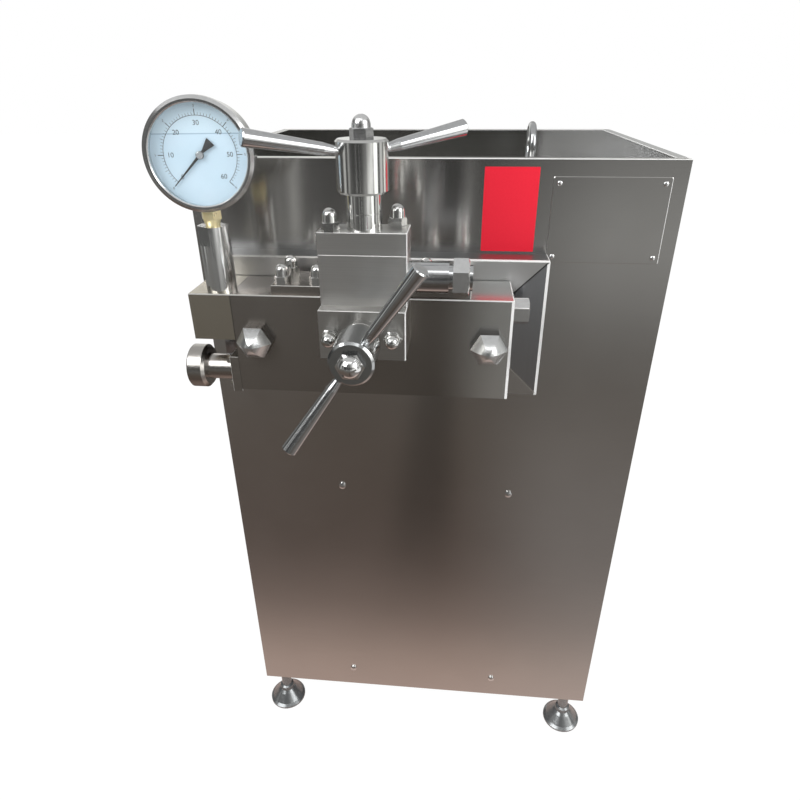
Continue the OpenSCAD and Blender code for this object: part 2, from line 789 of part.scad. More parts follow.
// Cup of the gauge with a ledge for the dial and the movement's post
module gauge_case() {
    outer = gauge_case_d / 2;
    inner = outer - case_wall;
    color("silver") difference() {
        at_gauge() difference() {
            rotate_extrude() polygon([
                [0, case_back], [outer - 3, case_back], [outer, case_back + 3], [outer, case_rim], [inner, case_rim],
                [inner, dial_seat], [inner - 3, dial_seat], [inner - 3, case_back + case_wall],
                [9, case_back + case_wall], [9, dial_seat - 1], [0, dial_seat - 1]]);
            translate([0, 0, dial_seat - 12]) cylinder(h = 12, d = pivot_d + 2 * fit);
        }
        translate([gauge_x, gauge_y, z_gauge - outer - through]) cylinder(h = 8, d = 12 + 2 * fit);
    }
}

module gauge_bezel() {
    outer = gauge_case_d / 2 + bezel_over;
    skirt = gauge_case_d / 2 + fit;
    lip = gauge_case_d / 2 - bezel_lip;
    glass_front = case_rim + glass_t;
    color("silver") at_gauge() rotate_extrude() polygon([
        [skirt, case_rim - 6], [outer - 1, case_rim - 6], [outer, case_rim - 5], [outer, bezel_front - 3],
        [outer - 3, bezel_front], [lip + 1, bezel_front], [lip, bezel_front - 1], [lip, glass_front],
        [skirt, glass_front]]);
}

module gauge_dial() {
    color("aliceblue") at_gauge() translate([0, 0, dial_seat]) difference() {
        cylinder(h = dial_t, r = gauge_case_d / 2 - case_wall - fit);
        translate([0, 0, -through]) cylinder(h = dial_t + 2 * through, d = pivot_d + 2 * running_gap);
    }
}

module gauge_glass() {
    color("lightcyan", 0.4) at_gauge() translate([0, 0, case_rim]) cylinder(h = glass_t, r = gauge_case_d / 2 - fit);
}

// Pointer with a broad tail, on its pivot
module gauge_needle() {
    lift = dial_seat + dial_t + 1.5;
    color("black") at_gauge() rotate([0, 0, needle_rest]) {
        translate([0, 0, lift]) linear_extrude(0.8) polygon([
            [needle_len, -0.3], [needle_len, 0.3], [0, 1.3], [-5, 1.3], [-16, 4.5], [-16, -4.5], [-5, -1.3], [0, -1.3]]);
        translate([0, 0, lift - 0.5]) cylinder(h = 2.2, d = 7);
        translate([0, 0, dial_seat - 11]) cylinder(h = 11 + dial_t + 2, d = pivot_d);
    }
}

// Places of the two nuts on the first stage, local Z pointing to the viewer
module first_nut_places() {
    at_first() for (x = [-1, 1]) translate([x * valve_nut_x, 0, 0]) children();
}

// Places of the two diagonal nuts on the second stage's cap
module cap_nut_places() {
    at_second() for (s = [-1, 1]) translate([s * valve_nut_x, s * cap_nut_y, 0]) children();
}

// Stepped cut for one stage's chamber, from the bonnet's seat to its wall
module chamber(depth) {
    translate([0, 0, -depth]) cylinder(h = depth + through, d = chamber_d + 2 * fit);
    translate([0, 0, -depth - chamber_wall - through]) cylinder(h = chamber_wall + 2 * through, d = port_d);
}

module first_body() {
    color("gray") difference() {
        translate([pump_x - valve_w / 2, first_face, z_first - first_h / 2]) cube([valve_w, first_t, first_h]);
        at_first() chamber(first_depth);
        translate([pump_x, second_y, z_first]) cylinder(h = first_h, d = port_d);
        first_nut_places() translate([0, 0, -first_t - through])
            cylinder(h = first_t + 2 * through, d = acorn_stud + 2 * fit);
        cap_nut_places() translate([0, 0, -cap_h - second_h - 13]) cylinder(h = 14, d = acorn_stud + 2 * fit);
    }
}

module second_body() {
    color("gray") difference() {
        translate([pump_x - valve_w / 2, second_y - second_t / 2, z_second]) cube([valve_w, second_t, second_h]);
        at_second() chamber(second_depth);
        translate([pump_x, second_y, z_outlet]) to_right() cylinder(h = valve_w, d = outlet_bore);
        translate([outlet_face - 12, second_y, z_outlet]) to_right()
            cylinder(h = 13, d = outlet_thread + 2 * fit);
        cap_nut_places() translate([0, 0, -cap_h - second_h - through])
            cylinder(h = second_h + 2 * through, d = acorn_stud + 2 * fit);
    }
}

module second_cap() {
    color("gray") difference() {
        translate([pump_x - valve_w / 2, second_y - second_t / 2, z_cap]) cube([valve_w, second_t, cap_h]);
        at_second() translate([0, 0, -cap_h - through]) cylinder(h = cap_h + 2 * through, d = chamber_d + 2 * fit);
        cap_nut_places() translate([0, 0, -cap_h - through])
            cylinder(h = cap_h + 2 * through, d = acorn_stud + 2 * fit);
    }
}

module valve_nuts() {
    color("lightgray") {
        first_nut_places() nut_on_stud(first_t + stud_hold);
        cap_nut_places() nut_on_stud(cap_h + second_h + 12);
    }
}

// Neck that guides the spindle; its foot screws into the chamber's mouth
module bonnet(neck) {
    seam = 0.45 * neck;
    rotate_extrude() polygon([
        [spindle_d / 2 + fit, -spigot], [chamber_d / 2, -spigot], [chamber_d / 2, 0], [neck_d / 2, 0],
        [neck_d / 2, seam], [neck_d / 2 - 0.4, seam + 0.4], [neck_d / 2, seam + 0.8],
        [neck_d / 2, neck + hub_lap - 1], [neck_d / 2 - 1, neck + hub_lap], [spindle_d / 2 + fit, neck + hub_lap]]);
}

// Threaded spindle, shouldered under the hub and threaded for the dome nut
module spindle(neck, nut) {
    low = rod_top + running_gap;
    shoulder = neck + hub_recess;
    translate([0, 0, low]) cylinder(h = shoulder - low, d = spindle_d);
    translate([0, 0, shoulder - 1]) cylinder(h = hub_h - hub_recess + nut[1] + 2, d = dome_stud);
}

// Cup-shaped hub over the bonnet, drilled for the two arms
module hub(neck, angle, d) {
    edge = 2;
    translate([0, 0, neck]) difference() {
        rotate_extrude() polygon([
            [neck_d / 2 + 0.5, 0], [d / 2 - edge, 0], [d / 2, edge], [d / 2, hub_h - edge],
            [d / 2 - edge, hub_h], [dome_stud / 2 + fit, hub_h], [dome_stud / 2 + fit, hub_recess],
            [neck_d / 2 + 0.5, hub_recess]]);
        arm_axes(angle, d) translate([0, 0, 0.45 * d - 2]) cylinder(h = d, d = arm_root_d + 2 * fit);
    }
}

// Axes of the two arms from the hub's middle, local Z running outwards
module arm_axes(angle, d) {
    for (side = [0, 180])
        rotate([0, 0, angle + side]) translate([0, 0, arm_root(d)])
            rotate([0, 90 - arm_tilt, 0]) children();
}

// Two tapered arms: a thin root, a short flare and a long taper to a flat end
module arms(neck, angle, d) {
    start = 0.45 * d;
    flare = d / 2 + 3;
    taper = flare + 10;
    translate([0, 0, neck]) arm_axes(angle, d) rotate_extrude() polygon([
        [0, start], [arm_root_d / 2, start], [arm_root_d / 2, flare], [arm_neck_d / 2, taper],
        [arm_end_d / 2, arm_end - arm_edge], [arm_end_d / 2 - arm_edge, arm_end], [0, arm_end]]);
}

// Rod pressed by the spindle's end, with a flange for the spring
module push_rod() {
    translate([0, 0, -spigot - 0.5 - rod_flange_t]) cylinder(h = rod_flange_t, d = rod_flange_d);
    translate([0, 0, -spigot - 1]) cylinder(h = spigot + 1 + rod_top, d = spindle_d - 1);
}

// Spring under the rod's flange, slack by the handle's whole feed
module stage_spring(depth) {
    low = -depth + seat_t + disc_t + feed + running_gap;
    high = -spigot - 0.5 - rod_flange_t;
    translate([0, 0, low])
        coil_spring((rod_flange_d - spring_wire) / 2 - 0.5, spring_wire / 2, high - low, spring_turns);
}

module stage_dome_nut(neck, nut) {
    translate([0, 0, neck + hub_h]) dome_nut(nut[0], nut[1], nut[2], dome_stud);
}

module stage_seat(depth) {
    translate([0, 0, -depth]) difference() {
        cylinder(h = seat_t, d = chamber_d);
        translate([0, 0, -through]) cylinder(h = seat_t + 2 * through, d = port_d);
    }
}

module stage_disc(depth) { translate([0, 0, -depth + seat_t]) cylinder(h = disc_t, d = disc_d); }

module first_bonnet() { color("lightgray") at_first() bonnet(first_neck); }
module first_spindle() { color("silver") at_first() spindle(first_neck, first_nut); }
module first_hub() { color("silver") at_first() hub(first_neck, first_angle, first_hub_d); }
module first_arms() { color("silver") at_first() arms(first_neck, first_angle, first_hub_d); }
module first_dome_nut() { color("silver") at_first() stage_dome_nut(first_neck, first_nut); }
module first_push_rod() { color("silver") at_first() push_rod(); }
module first_spring() { color("gray") at_first() stage_spring(first_depth); }
module second_bonnet() { color("lightgray") at_second() bonnet(second_neck); }
module second_spindle() { color("silver") at_second() spindle(second_neck, second_nut); }
module second_hub() { color("silver") at_second() hub(second_neck, second_angle, second_hub_d); }
module second_arms() { color("silver") at_second() arms(second_neck, second_angle, second_hub_d); }
module second_dome_nut() { color("silver") at_second() stage_dome_nut(second_neck, second_nut); }
module second_push_rod() { color("silver") at_second() push_rod(); }
module second_spring() { color("gray") at_second() stage_spring(second_depth); }

module valve_seats() {
    color("dimgray") {
        at_first() stage_seat(first_depth);
        at_second() stage_seat(second_depth);
    }
}

module valve_discs() {
    color("dimgray") {
        at_first() stage_disc(first_depth);
        at_second() stage_disc(second_depth);
    }
}

// Outlet pipe, screwed into the second stage's right face
module outlet_pipe() {
    nut_start = outlet_len + outlet_groove;
    end = nut_start + outlet_nut_t + outlet_lip;
    inner = outlet_d - 5;
    color("lightgray") translate([outlet_face, second_y, z_outlet]) to_right() difference() {
        union() {
            translate([0, 0, -11]) cylinder(h = 12, d = outlet_thread);
            cylinder(h = outlet_len, d = outlet_d);
            translate([0, 0, 1]) cylinder(h = end - 1, d = inner);
        }
        translate([0, 0, -12]) cylinder(h = end + 13, d = outlet_bore);
    }
}

module outlet_nut() {
    color("lightgray") translate([outlet_face + outlet_len + outlet_groove, second_y, z_outlet]) to_right()
        difference() {
            hex_prism(outlet_nut_af, outlet_nut_t);
            translate([0, 0, -through]) cylinder(h = outlet_nut_t + 2 * through, d = outlet_d - 5 + 2 * fit);
        }
}

// Closed crankcase: a barrel on a foot, a front plate and two bosses to the block
module crankcase() {
    plate_t = 30;
    half = case_w / 2;
    pocket = crank_y - shaft_d / 2 - 5 - case_front;
    color("steelblue") difference() {
        union() {
            translate([pump_x - half, crank_y, crank_z]) to_right() cylinder(h = case_w, r = case_r);
            span([pump_x - half, crank_y - case_r + 5, z_shelf], [pump_x + half, crank_y + case_r - 5, crank_z]);
            span([pump_x - stud_span / 2 - 15, case_front, z_pump - 60],
                [pump_x + stud_span / 2 + 15, case_front + plate_t, z_pump + 60]);
            span([pump_x - half, case_front + plate_t - 1, z_pump - 60], [pump_x + half, crank_y, z_pump + 60]);
            translate([pump_x + half - 1, crank_y, crank_z]) to_right() cylinder(h = 16, d = 2 * shaft_d);
            big_studs() translate([0, 0, block_t + through]) cylinder(h = case_front - block_back + 1, d = 2.1 * stud_d);
        }
        big_studs() translate([0, 0, block_t]) cylinder(h = 43, d = stud_d + 2 * fit);
        at_plungers() translate([0, block_back, z_pump]) into_machine()
            cylinder(h = case_front - block_back - running_gap, d = gland_d + 2 * gland_clear);
        at_plungers() translate([0, case_front - through, z_pump]) into_machine()
            cylinder(h = pocket + through, d = plunger_d + 2 * fit);
        translate([pump_x + half - 60, crank_y, crank_z]) to_right() cylinder(h = 80, d = shaft_d + 2 * fit);
    }
}

// One plunger, drawn back from its front dead centre
module plunger(i, back) {
    color("white") translate([pump_x + i * plunger_pitch, block_front + 14 + back, z_pump]) into_machine()
        cylinder(h = plunger_len, d = plunger_d);
}

// The cranks stand 120 degrees apart, so two plungers are three quarters back
module plunger_left() { plunger(-1, 0); }
module plunger_middle() { plunger(0, 0.75 * stroke); }
module plunger_right() { plunger(1, 0.75 * stroke); }

module plunger_glands() {
    color("goldenrod") at_plungers() translate([0, block_back, z_pump]) into_machine() difference() {
        cylinder(h = gland_t, d = gland_d);
        translate([0, 0, -through]) cylinder(h = gland_t + 2 * through, d = plunger_d + 2 * fit);
    }
}

// Grooved pulley between two x places of its shaft
module pulley(d, bore) {
    groove = belt_w + 2 * groove_gap;
    difference() {
        cylinder(h = pulley_w, d = d, center = true);
        for (s = [-0.5, 0.5]) translate([0, 0, s * groove_pitch]) difference() {
            cylinder(h = groove, d = d + 2 * through, center = true);
            cylinder(h = groove, d = d - 2 * groove_depth, center = true);
        }
        cylinder(h = pulley_w + 2 * through, d = bore + 2 * fit, center = true);
    }
}

// Driven pulley on the crank's input shaft
module driven_pulley() {
    shaft_start = pump_x + case_w / 2 - 58;
    color("darkslategray") {
        translate([belt_x, crank_y, crank_z]) to_right() pulley(driven_d, shaft_d);
        translate([shaft_start, crank_y, crank_z]) to_right()
            cylinder(h = belt_x + pulley_w / 2 - shaft_start, d = shaft_d);
    }
}

// Foot-mounted motor: finned barrel, fan cowl, feet and terminal box
module motor() {
    r = motor_d / 2;
    cowl = 0.2 * motor_len;
    shield = 0.09 * motor_len;
    inset = 0.07 * motor_len;
    fin_h = 0.08 * r;
    fin_t = 0.03 * r;
    fins = 20;
    foot_t = 0.15 * r;
    box_h = 0.36 * r;
    left = motor_right - motor_len;
    color("royalblue") translate([0, crank_y, z_motor]) difference() {
        union() {
            translate([left, 0, 0]) to_right() rotate_extrude() polygon([
                [0, 0], [r - fin_h, 0], [r, fin_h], [r, cowl], [r - fin_h, cowl], [r - fin_h, motor_len - shield],
                [r, motor_len - shield], [r, motor_len - shield / 2], [0.7 * r, motor_len], [0, motor_len]]);
            translate([left + cowl - 1, 0, 0]) to_right()
                for (i = [0:fins - 1]) rotate([0, 0, (i + 0.5) * 360 / fins])
                    translate([r - fin_h - 2, -fin_t / 2, 0]) cube([fin_h + 1, fin_t, motor_len - shield - cowl + 2]);
            span([left + cowl + inset, -0.95 * r, -motor_rise], [motor_right - shield - inset, 0.95 * r, foot_t - motor_rise]);
            span([left + cowl + 1.5 * inset, -r / 2, foot_t - motor_rise - 1],
                [motor_right - shield - 1.5 * inset, r / 2, -r / 2]);
            span([left + cowl + 2 * inset, -r / 2, r - 2 * fin_h], [motor_right - shield - 2 * inset, r / 2, r + box_h]);
        }
        translate([motor_right - shaft_hold - 2, 0, 0]) to_right()
            cylinder(h = shaft_hold + 2 + through, d = motor_shaft + 2 * fit);
    }
}

// Small pulley on the motor's shaft
module motor_pulley() {
    shaft_start = motor_right - shaft_hold;
    color("darkslategray") {
        translate([belt_x, crank_y, z_motor]) to_right() pulley(motor_pulley_d, motor_shaft);
        translate([shaft_start, crank_y, z_motor]) to_right()
            cylinder(h = belt_x + pulley_w / 2 - shaft_start, d = motor_shaft);
    }
}

// Outline round both pulleys at a height above their groove floors
module belt_outline(lift) {
    hull() {
        translate([0, crank_z]) circle(r = driven_d / 2 - groove_depth + lift, $fn = 48);
        translate([0, z_motor]) circle(r = motor_pulley_d / 2 - groove_depth + lift, $fn = 48);
    }
}

module drive_belts() {
    color("black") for (s = [-0.5, 0.5])
        translate([belt_x + s * groove_pitch - belt_w / 2, crank_y, 0]) rotate([90, 0, 90])
            linear_extrude(belt_w) difference() {
                belt_outline(groove_gap + belt_t);
                belt_outline(groove_gap);
            }
}

placed() base_plate();
placed() frame_posts();
placed() shelf_plate();
placed() front_panel();
placed() left_panel();
placed() right_panel();
placed() rear_panel();
placed() top_plate();
placed() lifting_eye();
placed() hood_frame();
placed() panel_screws();
placed() feet();
placed() foot_nuts();
placed() pump_block();
placed() block_studs();
placed() block_nuts();
placed() end_plug();
placed() cover_plate();
placed() cover_nuts();
placed() inlet_flange();
placed() inlet_union();
placed() inlet_bolts();
placed() gauge_stem();
placed() gauge_neck();
placed() gauge_case();
placed() gauge_bezel();
placed() gauge_dial();
placed() gauge_glass();
placed() gauge_needle();
placed() first_body();
placed() first_bonnet();
placed() first_spindle();
placed() first_hub();
placed() first_arms();
placed() first_dome_nut();
placed() first_push_rod();
placed() first_spring();
placed() second_body();
placed() second_cap();
placed() second_bonnet();
placed() second_spindle();
placed() second_hub();
placed() second_arms();
placed() second_dome_nut();
placed() second_push_rod();
placed() second_spring();
placed() valve_seats();
placed() valve_discs();
placed() valve_nuts();
placed() outlet_pipe();
placed() outlet_nut();
placed() crankcase();
placed() plunger_left();
placed() plunger_middle();
placed() plunger_right();
placed() plunger_glands();
placed() driven_pulley();
placed() motor();
placed() motor_pulley();
placed() drive_belts();
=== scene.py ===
import json
import math

import bmesh
import bpy
import mathutils
import numpy as np
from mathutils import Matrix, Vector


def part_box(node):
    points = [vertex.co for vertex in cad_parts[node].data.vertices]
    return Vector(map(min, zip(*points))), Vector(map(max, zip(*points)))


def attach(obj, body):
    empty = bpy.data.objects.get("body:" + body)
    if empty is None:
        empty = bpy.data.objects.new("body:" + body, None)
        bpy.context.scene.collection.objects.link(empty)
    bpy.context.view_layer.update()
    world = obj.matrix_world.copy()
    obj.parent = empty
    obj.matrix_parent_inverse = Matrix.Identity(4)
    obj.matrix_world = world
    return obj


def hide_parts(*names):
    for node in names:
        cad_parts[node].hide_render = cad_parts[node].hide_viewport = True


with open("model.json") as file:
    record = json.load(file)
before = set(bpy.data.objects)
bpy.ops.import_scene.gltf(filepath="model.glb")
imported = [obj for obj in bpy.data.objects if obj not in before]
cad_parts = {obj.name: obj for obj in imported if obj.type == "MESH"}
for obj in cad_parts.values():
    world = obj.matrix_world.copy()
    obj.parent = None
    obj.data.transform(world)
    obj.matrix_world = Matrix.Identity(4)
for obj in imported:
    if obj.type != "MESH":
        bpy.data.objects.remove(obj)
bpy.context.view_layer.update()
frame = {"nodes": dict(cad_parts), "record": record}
nodes = frame["nodes"]
panelFront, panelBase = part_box("front_panel")[0][1:3]
print("frame loaded:", len(nodes), "nodes")


def onPanel(x, z, out=0.0):
    # millimetres from the front panel's middle and bottom edge; out is towards the viewer
    return np.array([x / 1000, panelFront - out / 1000, panelBase + z / 1000])


# Camera

viewpoint = {
    "place": (34.07, -666.48, 886.90),  # mm from the panel's bottom middle
    "yaw": 0.0987,
    "pitch": 0.4849,
    "roll": -0.0072,
    "lens": 27.45,
    "picture": 36,  # mm wide
}


def makeCamera(v):
    # turns about the vertical, then down, then about the line of sight
    cy, sy = math.cos(v["yaw"]), math.sin(v["yaw"])
    cp, sp = math.cos(v["pitch"]), math.sin(v["pitch"])
    cr, sr = math.cos(v["roll"]), math.sin(v["roll"])
    turn = np.array([[cy, sy, 0], [-sy, cy, 0], [0, 0, 1]])
    level = np.array([[1, 0, 0], [0, 0, -1], [0, 1, 0]])
    nod = np.array([[1, 0, 0], [0, cp, -sp], [0, sp, cp]])
    bank = np.array([[cr, -sr, 0], [sr, cr, 0], [0, 0, 1]])
    right, down, ahead = bank @ nod @ level @ turn
    x, y, z = v["place"]
    eye = onPanel(x, z, -y)
    matrix = mathutils.Matrix.Identity(4)
    for row in range(3):
        matrix[row] = (right[row], -down[row], -ahead[row], eye[row])
    lens = bpy.data.cameras.new("viewCamera")
    lens.lens = v["lens"]
    lens.sensor_width = v["picture"]
    lens.clip_end = 50
    camera = bpy.data.objects.new("viewCamera", lens)
    camera.matrix_world = matrix
    bpy.context.scene.collection.objects.link(camera)
    bpy.context.scene.camera = camera


makeCamera(viewpoint)
print("camera set")


# Shader expressions


class Wire:
    # a socket that can be added, multiplied and compared; each step adds a Math node

    def __init__(self, tree, socket):
        self.tree = tree
        self.socket = socket

    def node(self, kind, settings=None, inputs=None, out=0):
        made = self.tree.nodes.new(kind)
        for key, value in (settings or {}).items():
            if key == "stops":
                ramp = made.color_ramp
                while len(ramp.elements) < len(value):
                    ramp.elements.new(0.5)
                for stop, (place, color) in zip(ramp.elements, value):
                    stop.position = place
                    stop.color = (*color, 1)
            else:
                setattr(made, key, value)
        for key, value in (inputs or {}).items():
            if isinstance(value, Wire):
                self.tree.links.new(value.socket, made.inputs[key])
            else:
                made.inputs[key].default_value = value
        return Wire(self.tree, made.outputs[out])

    def math(self, operation, *values):
        return self.node("ShaderNodeMath", {"operation": operation}, dict(enumerate(values)))

    def __add__(self, other):
        return self.math("ADD", self, other)

    def __sub__(self, other):
        return self.math("SUBTRACT", self, other)

    def __rsub__(self, other):
        return self.math("SUBTRACT", other, self)

    def __mul__(self, other):
        return self.math("MULTIPLY", self, other)

    __rmul__ = __mul__

    def __truediv__(self, other):
        return self.math("DIVIDE", self, other)

    def __lt__(self, other):
        return self.math("LESS_THAN", self, other)

    def __gt__(self, other):
        return self.math("GREATER_THAN", self, other)

    def __abs__(self):
        return self.math("ABSOLUTE", self)

    def clamp(self, low, high):
        # rises softly from 0 at low to 1 at high
        inputs = {"Value": self, "From Min": low, "From Max": high}
        return self.node("ShaderNodeMapRange", {"interpolation_type": "SMOOTHSTEP"}, inputs)

    def axis(self, name):
        return self.node("ShaderNodeSeparateXYZ", None, {0: self}, "XYZ".index(name))

    def scaled(self, scale):
        return self.node("ShaderNodeMapping", None, {"Vector": self, "Scale": scale})

    def noise(self, scale, detail=3.0, rough=0.5):
        inputs = {"Vector": self, "Scale": scale, "Detail": detail, "Roughness": rough}
        return self.node("ShaderNodeTexNoise", None, inputs)

    def mix(self, first, second):
        # self is the factor between two colours, which are sockets 6 and 7 of the node and come out at 2
        made = self.tree.nodes.new("ShaderNodeMix")
        made.data_type = "RGBA"
        for place, value in ((0, self), (6, first), (7, second)):
            if isinstance(value, Wire):
                self.tree.links.new(value.socket, made.inputs[place])
            else:
                made.inputs[place].default_value = (*value, 1)
        return Wire(self.tree, made.outputs[2])


def newFinish(name):
    material = bpy.data.materials.new(name)
    material.use_nodes = True
    tree = material.node_tree
    shader = tree.nodes["Principled BSDF"]
    coords = Wire(tree, tree.nodes.new("ShaderNodeTexCoord").outputs["Object"])
    return material, shader, coords


def feed(shader, **values):
    # words of a socket's name are joined by underscores
    for key, value in values.items():
        socket = shader.inputs[key.replace("_", " ")]
        if isinstance(value, Wire):
            value.tree.links.new(value.socket, socket)
        elif isinstance(value, tuple):
            socket.default_value = (*value, 1)
        else:
            socket.default_value = value


def relief(height, strength, distance):
    inputs = {"Height": height, "Strength": strength, "Distance": distance}
    return height.node("ShaderNodeBump", None, inputs)


def brushMarks(lines):
    return relief(lines, 0.03, 0.00005)


# Finishes

# tones, roughness, noise scale along the axes, how far reflections smear, and how metallic if not wholly
steelLook = {
    "cabinet": {"light": (0.60, 0.59, 0.575), "dark": (0.545, 0.535, 0.52), "rough": 0.155,
                "grain": (14, 1500, 1500), "smear": 0.98},
    # the block's brighter right end is a painted reflection, its bright right rim a painted highlight
    "block": {"light": (0.41, 0.38, 0.35), "dark": (0.355, 0.33, 0.305), "rough": 0.25,
              "grain": (16, 1200, 1200), "smear": 0.75, "paintedGlint": (0.01, 0.082, (0.96, 0.98, 0.97)),
              "joint": (-0.1935, (0.55, 0.51, 0.43)), "rim": "pump_block"},
    "valve": {"light": (0.80, 0.795, 0.78), "dark": (0.72, 0.715, 0.70), "rough": 0.30,
              "grain": (16, 1200, 1200), "smear": 0.6},
    "bright": {"light": (0.72, 0.72, 0.71), "dark": (0.62, 0.62, 0.61), "rough": 0.15,
               "grain": (700, 700, 70)},
    # a darker copy of the valve steel: painted shade on the first body
    "firstBodyShade": {"light": (0.60, 0.59, 0.57), "dark": (0.53, 0.52, 0.50), "rough": 0.30,
                  "grain": (16, 1200, 1200), "smear": 0.6},
    "foot": {"light": (0.29, 0.30, 0.305), "dark": (0.21, 0.22, 0.225), "rough": 0.22,
             "grain": (260, 260, 260), "metal": 0.7},
    "arm": {"light": (0.62, 0.63, 0.64), "dark": (0.52, 0.53, 0.54), "rough": 0.17,
            "grain": (260, 260, 260)},
    "stem": {"light": (0.84, 0.845, 0.84), "dark": (0.75, 0.755, 0.75), "rough": 0.15,
             "grain": (700, 700, 70), "metal": 0.98},
    "union": {"light": (0.53, 0.51, 0.485), "dark": (0.43, 0.415, 0.395), "rough": 0.26,
              "grain": (70, 700, 700)},
    "hub": {"light": (0.46, 0.47, 0.475), "dark": (0.38, 0.39, 0.395), "rough": 0.13,
            "grain": (260, 260, 260)},
    "nut": {"light": (0.60, 0.61, 0.615), "dark": (0.50, 0.51, 0.515), "rough": 0.20,
            "grain": (260, 260, 260)},
    "nutCap": {"light": (0.74, 0.75, 0.75), "dark": (0.62, 0.63, 0.63), "rough": 0.25,
               "grain": (260, 260, 260), "metal": 0.94},
    # the big nuts' six flats: a painted shade
    "nutSideShade": {"light": (0.22, 0.21, 0.20), "dark": (0.16, 0.155, 0.15), "rough": 0.28,
                "grain": (260, 260, 260)},
    "satin": {"light": (0.82, 0.825, 0.83), "dark": (0.72, 0.725, 0.73), "rough": 0.24,
              "grain": (260, 260, 260)},
    # the bevelled edges' bright, hardly metallic tone is a painted highlight, brighter still along a
    # stretch of x
    "edge": {"light": (0.50, 0.49, 0.47), "dark": (0.44, 0.43, 0.41), "rough": 0.36,
             "grain": (300, 300, 300), "metal": 0.12, "paintedGlint": (-0.16, -0.02, (0.96, 0.96, 0.95))},
}

# painted highlights as bright strips down the right-hand rims, in metres; they are hardly metallic
rimLook = {"tone": (0.95, 0.95, 0.94), "metal": 0.12, "deep": 0.0005, "blockWide": 0.0028,
           "hoodWide": 0.0032}
# how much of the painted reflection's tone shows, the thickness taken as the end face, and half a joint's
# width
glintAndJointLook = {"paintedGlint": 0.85, "endFace": 0.0004, "jointHalf": 0.0004, "jointTone": (0.16, 0.15, 0.14)}


def grainShade(coords, look):
    # fine lines along one axis over soft cloudy patches
    lines = coords.scaled(look["grain"]).noise(1.0, rough=0.55)
    clouds = coords.noise(6.0)
    shade = lines.clamp(0.25, 0.75) * 0.5 + clouds.clamp(0.3, 0.7) * 0.5
    return lines, shade.mix(look["dark"], look["light"])


def brushedSteel(name, look):
    # the lines smear reflections up and down; a little wipe haze is in the roughness
    material, shader, coords = newFinish(name)
    lines, color = grainShade(coords, look)
    metal = look.get("metal", 1.0)
    if "paintedGlint" in look:
        # a painted reflection brightens one end, from one place along x to another
        start, end, tone = look["paintedGlint"]
        paintedGlint = coords.axis("X").clamp(start, end) * glintAndJointLook["paintedGlint"]
        if "rim" in look:
            # but not the end face itself
            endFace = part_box(look["rim"])[1][0] - glintAndJointLook["endFace"]
            paintedGlint = paintedGlint * (coords.axis("X") < endFace)
        color = paintedGlint.mix(color, tone)
    if "joint" in look:
        # a fine dark joint across x, and another cut of steel to its left
        place, tone = look["joint"]
        beside = coords.axis("X") - place
        color = (beside < 0.0).mix(color, tone)
        color = (abs(beside) < glintAndJointLook["jointHalf"]).mix(color, glintAndJointLook["jointTone"])
    if "rim" in look:
        # a painted highlight as a bright strip down the right-hand edge of the front
        low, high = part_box(look["rim"])
        onRight = coords.axis("X") > (high[0] - rimLook["blockWide"])
        rim = onRight * (coords.axis("Y") < (low[1] + rimLook["deep"]))
        color = rim.mix(color, rimLook["tone"])
        metal = 1 - (1 - rimLook["metal"]) * rim
    haze = coords.noise(18.0, detail=4.0, rough=0.6)
    rough = lines * 0.03 + haze * 0.04 + (look["rough"] - 0.035)
    feed(shader, Base_Color=color, Metallic=metal, Roughness=rough, Normal=brushMarks(lines))
    feed(shader, Anisotropic=look.get("smear", 0.0), Anisotropic_Rotation=0.25)
    return material


# tones of the hood's strips and mitres, with painted shade and painted light among them; mitre widths and
# the depth of the upper face are in metres
hoodLook = {
    "level": {**steelLook["cabinet"], "grain": (16, 1500, 1500)},
    # the upright strips' darker, bluer tone is painted shade
    "upright": {"light": (0.50, 0.51, 0.535), "dark": (0.44, 0.45, 0.475), "grain": (1500, 1500, 16)},
    # the top strip's lighter, less metallic tone is painted light
    "litTopStrip": (0.69, 0.69, 0.69),
    "topMetal": 0.93,
    "shadedUpperFace": (0.36, 0.37, 0.38),
    "upperDeep": 0.0006,
    "mitre": (0.0006, 0.0016),
    "highlitLowerMitre": (0.75, 0.75, 0.73),
    "upperMitre": (0.12, 0.12, 0.12),
}


